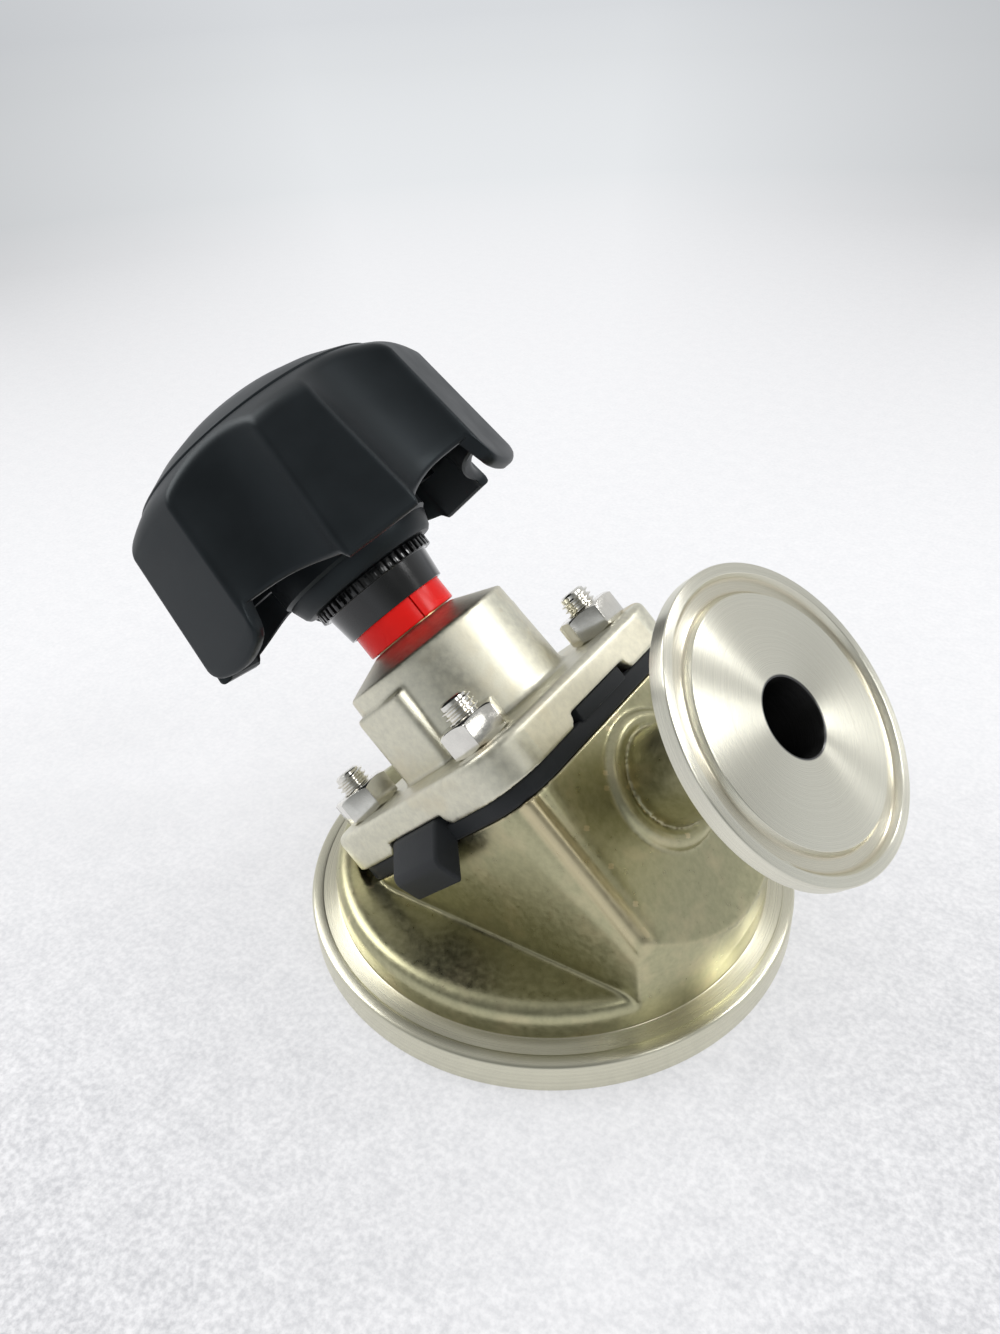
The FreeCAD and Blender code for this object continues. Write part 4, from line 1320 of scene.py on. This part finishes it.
@dataclass
class Diaphragm:
    """The rubber diaphragm: the rim that shows, the tongue in front and the flexing middle. Sizes in mm."""

    half: float = 26.6
    corner: float = 8.9
    hole_r: float = 15.6
    tab_in: float = 19.5
    tab_half: float = 7.0
    tab_s: float = 18.9
    slack: float = 0.02

    def rim(self) -> Object:
        """Builds the clamped rim with its side tabs.

        Returns:
            The rim.
        """
        outline = rounded_square(self.half, self.corner, SEAT_S + self.slack, 12)
        shape = Shape().prism(outline, (0, 0, RUBBER_TOP_S - SEAT_S - 2 * self.slack))
        shape.bevelled(
            0.5, 3, lambda e: abs(e.verts[0].co.z - e.verts[1].co.z) < 1e-4 and e.calc_face_angle(0) > 1.0,
        )
        rim = shape.object("rubber_rim", Place.BONNET)
        low = (self.tab_in, -self.tab_half, RUBBER_TOP_S - 0.6)
        high = (self.half + 0.5, self.tab_half, self.tab_s)
        tabs = [
            Shape().box(low, high).bevelled(0.35, 2, lambda e: True).turned(turn).object("tab", Place.BONNET)
            for turn in (0, 90, 180)
        ]
        hole = Shape().lathe(drum(self.hole_r, 10.0, 22.0), 96).object("rim_hole", Place.BONNET)
        rim = combined(combined(rim, tabs, Join.UNION), [hole], Join.DIFFERENCE)
        smooth_mesh(rim.data, 35)
        return rim

    def tongue(self) -> Object:
        """Builds the tongue that leaves the flange's notch and hangs outside the body.

        Returns:
            The tongue.
        """
        outline = outline_at(-self.tab_half, [
            (-20.5, RUBBER_TOP_S - 0.4), (-20.5, self.tab_s), (-27.8, self.tab_s),
            (-32.7, 13.9), (-30.7, 8.6), (-26.2, 13.8),
        ])
        shape = Shape().prism(outline, (2 * self.tab_half, 0, 0))
        shape.bevelled(1.35, 6, lambda e: all(v.co.y < -32.6 for v in e.verts))
        shape.bevelled(0.7, 5, lambda e: e.calc_face_angle(0) > 0.3)
        return shape.object("rubber_tongue", Place.BONNET, 40)

    def membrane(self) -> Object:
        """Builds the domed middle that flexes when the valve closes.

        Returns:
            The middle.
        """
        corners = [
            Corner(0.0, 16.0), Corner(8.0, 15.5, 4.0), Corner(15.0, 14.2, 2.0), Corner(16.2, 13.85),
            Corner(16.2, 16.8), Corner(15.0, 17.0, 1.0), Corner(8.0, 18.1, 3.0), Corner(5.0, 18.5, 0.5),
            Corner(4.5, 18.6), Corner(0.0, 18.6),
        ]
        return Shape().lathe(corners, 96).object("rubber_membrane", Place.BONNET)

    def dress(self) -> None:
        """Builds the three parts of the diaphragm and gives them their finish."""
        finish(self.rim(), RUBBER, "valve", "diaphragm_rubber", "diaphragm")
        finish(self.tongue(), RUBBER, "valve", "diaphragm_rubber", "diaphragm")
        membrane = finish(self.membrane(), RUBBER, None, "diaphragm_rubber", "diaphragm")
        place = Place.BONNET.matrix()
        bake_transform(membrane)


@dataclass
class PositionIndicator:
    """The red ring on the bush and the glossy sleeve that slides over it. Sizes in mm."""

    ring_low: float = 45.5
    ring_high: float = 51.0
    ring_r: float = 9.25
    ring_in: float = 6.95
    slit_at: float = -22.0
    slit: float = 0.35
    sleeve_low: float = 50.0
    sleeve_high: float = 61.9
    sleeve_in: float = 9.5
    sleeve_r: float = 11.0
    sleeve_low_r: float = 10.1
    waist_r: float = 10.75
    waist_s: float = 55.5
    collar_r: float = 11.35
    collar_low: float = 55.6
    collar_high: float = 57.6
    teeth: int = 48
    tooth_r: float = 12.1
    tooth_half: float = 0.42
    tooth_low: float = 55.55
    tooth_high: float = 57.55
    tooth_soft: float = 0.2

    def ring(self) -> Object:
        """Builds the split red ring.

        Returns:
            The ring.
        """
        shape = Shape()
        half_slit = math.degrees(self.slit / 2 / self.ring_r)
        corners = [
            Corner(self.ring_in, self.ring_low, 0.1), Corner(self.ring_r, self.ring_low, 0.3),
            Corner(self.ring_r, self.ring_high, 0.3), Corner(self.ring_in, self.ring_high, 0.1),
        ]
        laid = shape.wire(softened(corners, True), True)
        end = shape.bm.faces.new(of_kind(laid, BMVert))
        shape.spun([end] + of_kind(laid, BMEdge), math.radians(360 - 2 * half_slit), 144)
        return shape.turned(self.slit_at + half_slit).object("red_ring", Place.BONNET, 40)

    def sleeve(self) -> Object:
        """Builds the sleeve with its toothed collar.

        Returns:
            The sleeve.
        """
        corners = [
            Corner(self.sleeve_in, self.sleeve_low, 0.15), Corner(self.sleeve_low_r, self.sleeve_low, 0.2),
            Corner(self.waist_r, self.waist_s, 0.15), Corner(self.collar_r, self.collar_low, 0.1),
            Corner(self.collar_r, self.collar_high, 0.1), Corner(self.sleeve_r, 57.7, 0.05),
            Corner(self.sleeve_r, self.sleeve_high),
            Corner(self.sleeve_in, self.sleeve_high),
        ]
        shape = Shape().lathe(corners, 160, closed=True)
        low = (self.sleeve_r, -self.tooth_half, self.tooth_low)
        high = (self.tooth_r, self.tooth_half, self.tooth_high)
        shape.boxes_round(self.teeth, 0.0, low, high, self.tooth_soft)
        return shape.object("toothed_sleeve", Place.BONNET, 35)

    def dress(self) -> None:
        """Builds both pieces and gives them their finish."""
        finish(self.ring(), RED, "valve", "red_plastic", "indicator_ring")
        finish(self.sleeve(), GLOSS, "handwheel", "gloss_black", "indicator_sleeve")


Row = Callable[[float], tuple[float, float]]


@dataclass
class Handwheel:
    """The handwheel with narrow and wide lobes in turn, an open underside and a domed cap. Sizes in mm."""

    lobes: int = 6
    lobe_at: float = -29.75
    low_s: float = 58.9
    low_r: float = 34.4
    narrow_low_half: float = 12.0
    narrow_top_half: float = 8.5
    wide_half: float = 16.5
    low_flute: float = 29.6
    top_s: float = 88.0
    top_r: float = 31.2
    top_flute: float = 27.0
    wall: float = 2.6
    roof_s: float = 80.0
    dome_s: float = 95.3
    dome_r: float = 50.0
    arch_low: float = 60.1
    arch_mid: float = 62.55
    arch_high: float = 63.8
    arch_peak: float = 0.4
    lobe_corner: float = 2.4
    crown: float = 2.0
    lip: float = 0.9
    shoulder: float = 1.7
    segments: int = 720
    rib_in: float = 14.8
    rib_half: float = 1.0
    rib_low_s: float = 67.0
    cap_r: float = 25.5
    cap_gap: float = 0.2
    cap_rise: float = 0.35
    outer_rows: tuple[int, int, int, int] = (4, 12, 8, 4)

    def share(self, s: float) -> float:
        """Returns how far up a height is, from 0 at the lower edge to 1 at the upper one."""
        return (s - self.low_s) / (self.top_s - self.low_s)

    def half(self, lobe: int, share: float) -> float:
        """Works out half a lobe's width; even lobes are narrow and odd ones wide.

        Args:
            lobe: The lobe's number.
            share: How far up the skirt, from 0 to 1.

        Returns:
            The angle in degrees.
        """
        if lobe % 2:
            return self.wide_half
        return self.narrow_low_half + share * (self.narrow_top_half - self.narrow_low_half)

    def nearest(self, turn: float) -> tuple[int, float]:
        """Finds the lobe that an angle belongs to.

        Args:
            turn: The angle in degrees.

        Returns:
            The lobe's number, and the angle from its middle.
        """
        pitch = 360.0 / self.lobes
        lobe = math.floor((turn - self.lobe_at) / pitch + 0.5)
        return lobe, turn - self.lobe_at - lobe * pitch

    def gap(self, share: float) -> float:
        """Returns half a flute's width in degrees."""
        return (360.0 / self.lobes - self.half(0, share) - self.half(1, share)) / 2

    def plain_radius(self, turn: float, share: float) -> float:
        """Works out the lobed outline before its ridges are rounded.

        Args:
            turn: The angle in degrees.
            share: 0 at the lower edge and 1 at the upper one.

        Returns:
            Its radius in mm.
        """
        outer = self.low_r + share * (self.top_r - self.low_r)
        flute = self.low_flute + share * (self.top_flute - self.low_flute)
        lobe, off = self.nearest(turn)
        half = self.half(lobe, share)
        if abs(off) <= half:
            return outer * math.cos(math.radians(half)) / math.cos(math.radians(off))
        gap = self.gap(share)
        away = math.radians(abs(off) - half - gap)
        centre = (outer ** 2 - flute ** 2) / (2 * (outer * math.cos(math.radians(gap)) - flute))
        radius = centre - flute
        return centre * math.cos(away) - math.sqrt(max(radius ** 2 - (centre * math.sin(away)) ** 2, 0.0))

    def radius(self, turn: float, share: float) -> float:
        """Returns the outline's radius with rounded ridges."""
        spans = (-1.0, -0.5, 0.0, 0.5, 1.0)
        return sum(self.plain_radius(turn + span, share) for span in spans) / len(spans)

    def plain_edge(self, turn: float) -> float:
        """Works out the lower edge: flat on narrow lobes, crowned on wide ones, arched between.

        Args:
            turn: The angle in degrees.

        Returns:
            Its height in mm.
        """
        lobe, off = self.nearest(turn)
        gap = self.gap(0.0)
        reach = self.low_r * math.sin(math.radians(gap))
        across = self.low_r * math.sin(math.radians(abs(off) - self.half(lobe, 0.0) - gap))
        if lobe % 2:
            across = -across
        if across < -reach:
            return self.low_s
        low = self.low_s - self.crown * max(0.0, 1 - (off / self.wide_half) ** 2)
        if across > reach + self.lobe_corner:
            return low
        if across > reach:
            inside = self.lobe_corner - (across - reach)
            return low + self.lobe_corner - math.sqrt(self.lobe_corner ** 2 - inside ** 2)
        t = (across / reach + 1) / 2
        rise = self.arch_high - self.arch_low
        peak = self.arch_peak
        bulge = (self.arch_mid - self.arch_low - peak * rise) / (peak * (1 - peak))
        return self.arch_low + rise * t + bulge * t * (1 - t)

    def edge_s(self, turn: float) -> float:
        """Returns the lower edge's height with its steps eased."""
        spans = (-0.6, -0.2, 0.2, 0.6)
        return sum(self.plain_edge(turn + span) for span in spans) / len(spans)

    def dome(self, r: float) -> float:
        """Returns the height of the domed top at a radius."""
        return self.dome_s - self.dome_r + math.sqrt(self.dome_r ** 2 - r * r)

    def ring_point(self, turn: float, row: int) -> tuple[float, float]:
        """Works out one row of the outside at an angle.

        Args:
            turn: The angle in degrees.
            row: The row, from the lower lip to the cap's seat.

        Returns:
            The radius and the height in mm.
        """
        lip_rows, wall_rows, shoulder_rows, top_rows = self.outer_rows
        wall_low = self.edge_s(turn) + self.lip
        if row < lip_rows:
            roll = math.radians(90 * row / lip_rows)
            r = self.radius(turn, self.share(wall_low))
            return r - self.lip * (1 - math.sin(roll)), wall_low - self.lip * math.cos(roll)
        row -= lip_rows
        corner_r = self.radius(turn, self.share(self.dome(29.0)))
        corner_s = self.dome(corner_r)
        wall_s = corner_s - self.shoulder
        if row < wall_rows:
            s = wall_low + (wall_s - wall_low) * row / wall_rows
            return self.radius(turn, self.share(s)), s
        row -= wall_rows
        inner = corner_r - self.shoulder * 1.2
        if row < shoulder_rows:
            start = Vector((self.radius(turn, self.share(wall_s)), wall_s))
            end = Vector((inner, self.dome(inner)))
            return tuple(eased(start, Vector((corner_r, corner_s)), end, row / shoulder_rows))
        row -= shoulder_rows
        r = inner + (self.cap_r + self.cap_gap - inner) * row / (top_rows - 1)
        return r, self.dome(r)

    def hollow_point(self, turn: float, level: Optional[float]) -> tuple[float, float]:
        """Works out one row of the hollow at an angle.

        Args:
            turn: The angle in degrees.
            level: The row's height, or None for the row beside the lower edge.

        Returns:
            The radius and the height in mm.
        """
        edge = self.edge_s(turn)
        s = edge + 0.4 if level is None else level
        return self.radius(turn, self.share(max(s, edge))) - self.wall, s

    def rows(self) -> list[Row]:
        """Lists the rows of the whole shell: hub and hollow, then outside and top.

        Returns:
            The rows in order.
        """
        hub = [
            (11.02, 61.9), (11.02, 57.7), (13.5, 57.75), (14.05, 58.3), (15.0, 60.9),
            (15.0, 61.2), (15.6, 61.8), (15.6, self.roof_s - 0.7), (14.9, self.roof_s),
        ]
        made: list[Row] = [lambda turn, point=point: point for point in hub]
        made.append(lambda turn: (self.hollow_point(turn, self.roof_s)[0] - 1.5, self.roof_s))
        for level in (self.roof_s - 1.5, 74.0, 69.0, 66.0, None):
            made.append(lambda turn, level=level: self.hollow_point(turn, level))
        made.append(lambda turn: (self.hollow_point(turn, None)[0] + 0.5, self.edge_s(turn)))
        for row in range(sum(self.outer_rows)):
            made.append(lambda turn, row=row: self.ring_point(turn, row))
        seat = self.dome(self.cap_r) - 1.2
        made.append(lambda turn: (self.cap_r + self.cap_gap, seat))
        return made

    def shell(self) -> Object:
        """Builds the handwheel's shell with its hub and ribs.

        Returns:
            The shell.
        """
        shape = Shape()
        bmesh.ops.create_circle(shape.bm, cap_ends=True, segments=self.segments, radius=1.0)
        first, *others = self.rows()
        edges = list(shape.bm.edges)
        self.move_ring(shape.bm.verts, first)
        for row in others:
            out = bmesh.ops.extrude_edge_only(shape.bm, edges=edges)["geom"]
            edges = of_kind(out, BMEdge)
            self.move_ring(of_kind(out, BMVert), row)
        bmesh.ops.contextual_create(shape.bm, geom=edges)
        low = (self.rib_in, -self.rib_half, self.rib_low_s)
        high = (self.low_flute - 1.0, self.rib_half, self.roof_s + 1.0)
        shape.boxes_round(self.lobes, self.lobe_at, low, high)
        return shape.object("handwheel_shell", Place.BONNET, 38)

    @staticmethod
    def move_ring(verts: Sequence, row: Row) -> None:
        """Moves a ring of vertices to one row of the shell.

        Args:
            verts: The ring's vertices.
            row: Gives radius and height for an angle.
        """
        for v in verts:
            angle = math.atan2(v.co.y, v.co.x)
            r, s = row(math.degrees(angle))
            v.co = Vector((r * math.cos(angle), r * math.sin(angle), s))

    def cap(self) -> Object:
        """Builds the domed cap that is let into the top.

        Returns:
            The cap.
        """
        edge, rise, under = self.dome(self.cap_r), self.cap_rise, 2.2
        corners = [Corner(r, self.dome(r) + rise) for r in (0.0, 5.0, 10.0, 15.0, 20.0)] + [
            Corner(self.cap_r, edge + rise, 0.35), Corner(self.cap_r, edge - 1.3),
            Corner(20.0, self.dome(20.0) - under), Corner(0.0, self.dome_s - under),
        ]
        return Shape().lathe(corners, 200).wrapped().object("domed_cap", Place.BONNET, 35)

    def dress(self) -> None:
        """Builds the shell and the cap and gives them their finish."""
        finish(self.shell(), HANDLE, "handwheel", "matte_black", "handwheel")
        finish(self.cap(), HANDLE, "handwheel", "matte_black", "handwheel_cap")


@dataclass
class HiddenWorks:
    """The pieces inside that keep their CAD shape."""

    cast: tuple[str, ...] = ("compressor",)
    steel: tuple[str, ...] = (
        "compressor_pins", "spindle", "ring_circlip", "handwheel_screw", "handwheel_washer", "diaphragm_stud",
    )
    bronze: tuple[str, ...] = ("spindle_bush", "thrust_washer")
    rubber: tuple[str, ...] = ("bush_o_ring", "spindle_o_ring", "spindle_wiper")

    def dress(self) -> None:
        """Gives each hidden piece its finish."""
        looks = ((self.cast, CAST), (self.steel, BRIGHT), (self.bronze, BRONZE), (self.rubber, SEAL))
        for names, look in looks:
            for name in names:
                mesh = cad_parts[name].data
                mesh.materials.clear()
                mesh.materials.append(look.material())
                log.info("%s keeps its CAD shape", name)


@dataclass
class Studio:
    """The pale floor, the plain soft light and the camera at the photograph's view."""

    azimuth: float = 35.55
    elevation: float = 34.35
    roll: float = -3.52
    shift_x: float = 9.9
    shift_y: float = -42.08
    distance: float = 207.68
    lens: float = 36.0 * 1065.21 / 1334.0
    horizon: Triple = (0.69, 0.71, 0.735)
    fill: float = 0.76
    glow: float = 0.6
    lamps: tuple[tuple[str, Triple, float, float], ...] = (
        ("key", (0.51, 0.306, 0.534), 0.20, 1.15),
        ("back", (0.31, 0.50, 0.55), 0.09, 0.75),
        ("window", (0.56, -0.12, 0.60), 0.20, 0.4),
        ("left", (-0.58, -0.10, 0.50), 0.45, 2.2),
    )

    def camera(self) -> None:
        """Adds the camera where the photograph was taken from."""
        a, e, r = (math.radians(v) for v in (self.azimuth, self.elevation, self.roll))
        back = Vector((math.sin(a) * math.cos(e), -math.cos(a) * math.cos(e), math.sin(e)))
        right = Vector((math.cos(a), math.sin(a), 0.0))
        up = back.cross(right)
        side = right * math.cos(r) + up * math.sin(r)
        top = up * math.cos(r) - right * math.sin(r)
        spot = (side * -self.shift_x + top * -self.shift_y + back * self.distance) * MM
        data = bpy.data.cameras.new("camera")
        data.lens = self.lens
        data.sensor_width = 36.0
        data.clip_start = 0.01
        camera = bpy.data.objects.new("camera", data)
        camera.matrix_world = Matrix.Translation(spot) @ Matrix((side, top, back)).transposed().to_4x4()
        bpy.context.scene.collection.objects.link(camera)
        bpy.context.scene.camera = camera

    @staticmethod
    def seen(nodes: Nodes) -> Socket:
        """Tells what the camera, gloss and glass see from what lights the object.

        Args:
            nodes: The nodes of a material or of the world.

        Returns:
            1 for what is seen and 0 for what lights.
        """
        path = nodes.add("ShaderNodeLightPath").outputs
        direct = nodes.math("MAXIMUM", path["Is Camera Ray"], path["Is Glossy Ray"])
        return nodes.math("MAXIMUM", direct, path["Is Transmission Ray"])

    def distant(self, nodes: Nodes, reach: Socket) -> Socket:
        """Colours the floor far away, where it fades to the horizon's colour.

        Args:
            nodes: The floor's nodes.
            reach: The distance from the object in metres.

        Returns:
            The colour.
        """
        ramp = nodes.add("ShaderNodeValToRGB", {"Fac": nodes.math("DIVIDE", reach, 3.0)})
        elements = ramp.color_ramp.elements
        stops = (
            (0.10, (0.92, 0.92, 0.94)), (0.25, (0.80, 0.82, 0.84)), (0.57, (0.73, 0.75, 0.77)),
            (1.0, self.horizon),
        )
        while len(elements) < len(stops):
            elements.new(0.5)
        for element, (position, colour) in zip(elements, stops):
            element.position = position
            element.color = (*colour, 1.0)
        return ramp.outputs["Color"]

    def floor(self) -> None:
        """Adds the pale foam floor, with painted shade towards the camera and at the far sides, which fades
        into the surroundings far away.
        """
        shape = Shape()
        bmesh.ops.create_grid(shape.bm, x_segments=1, y_segments=1, size=40000)
        floor = shape.moved((0, 0, -0.02)).object("floor", Place.UPRIGHT)
        material = bpy.data.materials.new("floor")
        material.use_nodes = True
        nodes = Nodes(material.node_tree)
        shader, out = (material.node_tree.nodes[name] for name in ("Principled BSDF", "Material Output"))
        place = nodes.coords()
        fleck = nodes.spread(nodes.noise(place, 950.0, 3.0, 0.6), 0.36, 0.64)
        cloud = nodes.spread(nodes.noise(place, 210.0, 3.0, 0.6), 0.35, 0.65)
        mottle = nodes.math("ADD", nodes.math("MULTIPLY", fleck, 0.65), nodes.math("MULTIPLY", cloud, 0.35))
        east, north = math.sin(math.radians(self.azimuth)), -math.cos(math.radians(self.azimuth))
        # Painted shade: towards the camera, and more so at the sides, the floor is darker, with its real foam
        # mottle shown stronger.
        front = nodes.spread(nodes.vector("DOT_PRODUCT", place, (east, north, 0.0)), -0.03, 0.08)
        away = nodes.math("ABSOLUTE", nodes.vector("DOT_PRODUCT", place, (-north, east, 0.0)))
        front_shade_and_mottle = nodes.math("MULTIPLY", front, nodes.spread(away, 0.0, 0.09, 0.3, 1.0))
        even = nodes.mix(mottle, (0.83, 0.835, 0.855), (0.905, 0.905, 0.92))
        rough = nodes.mix(mottle, (0.52, 0.525, 0.55), (0.90, 0.90, 0.92))
        near = nodes.mix(front_shade_and_mottle, even, rough)
        for name, value in (("Base Color", near), ("Roughness", 0.9), ("Specular IOR Level", 0.1)):
            nodes.feed(value, shader.inputs[name])
        reach = nodes.vector("LENGTH", place)
        far = nodes.spread(reach, 0.16, 0.75)
        # Painted shade: far away the floor's glow is dimmer towards the sides.
        dim = nodes.spread(nodes.math("DIVIDE", away, reach), 0.15, 0.50, 1.0, 0.72)
        glow = nodes.add("ShaderNodeEmission", {
            "Color": nodes.mix(far, near, self.distant(nodes, reach)),
            "Strength": nodes.mix(nodes.spread(reach, 0.15, 0.6), (1.0, 1.0, 1.0), dim),
        })
        mask = nodes.math("MULTIPLY", nodes.spread(far, 0.0, 1.0, self.glow, 1.0), self.seen(nodes))
        nodes.feed(nodes.mix_shader(mask, shader, glow), out.inputs["Surface"])
        floor.data.materials.append(material)

    def world(self) -> None:
        """Adds the surroundings: pale round the horizon, dimmer above, dimmest behind the camera."""
        world = bpy.data.worlds.new("surroundings")
        bpy.context.scene.world = world
        world.use_nodes = True
        world.node_tree.nodes.clear()
        nodes = Nodes(world.node_tree)
        plain = nodes.add("ShaderNodeBackground", {"Color": (1.0, 1.0, 1.0), "Strength": self.fill})
        way = nodes.coords("Generated")
        away = nodes.vector("DOT_PRODUCT", way, (-0.58, 0.81, 0.0))
        height = nodes.add("ShaderNodeSeparateXYZ", {0: way}).outputs["Z"]
        above = nodes.mix(nodes.spread(away, -0.6, 0.5), (0.20, 0.205, 0.20), (0.62, 0.62, 0.62))
        sky = nodes.mix(nodes.spread(height, 0.06, 0.40), self.horizon, above)
        shown = nodes.add("ShaderNodeBackground", {"Color": sky, "Strength": 1.0})
        nodes.add("ShaderNodeOutputWorld", {"Surface": nodes.mix_shader(self.seen(nodes), plain, shown)})

    @staticmethod
    def lamp(name: str, spot: Sequence[float], size: float, power: float) -> None:
        """Adds one soft lamp that faces the object.

        Args:
            name: Its name.
            spot: Where it hangs, in metres.
            size: Its width in metres.
            power: Its power in watts.
        """
        data = bpy.data.lights.new(name, "AREA")
        data.shape = "DISK"
        data.size = size
        data.energy = power
        lamp = bpy.data.objects.new(name, data)
        lamp.location = spot
        lamp.rotation_mode = "QUATERNION"
        lamp.rotation_quaternion = (Vector((0, 0, 0.04)) - Vector(spot)).to_track_quat("-Z", "Y")
        bpy.context.scene.collection.objects.link(lamp)

    def dress(self) -> None:
        """Builds the whole studio."""
        self.camera()
        self.floor()
        self.world()
        for lamp in self.lamps:
            self.lamp(*lamp)
        bpy.context.scene.view_settings.view_transform = "Standard"


def main() -> None:
    """Builds every sub-assembly in order and reports it."""
    logging.basicConfig(level=logging.INFO, format="%(name)s: %(message)s")
    for part in (
        Studio(), TankFerrule(), OutletFerrule(), BodyCasting(), Bonnet(), Fasteners(),
        Diaphragm(), PositionIndicator(), Handwheel(), HiddenWorks(),
    ):
        log.info("building %s", type(part).__name__)
        part.dress()


if __name__ == "__main__":
    main()
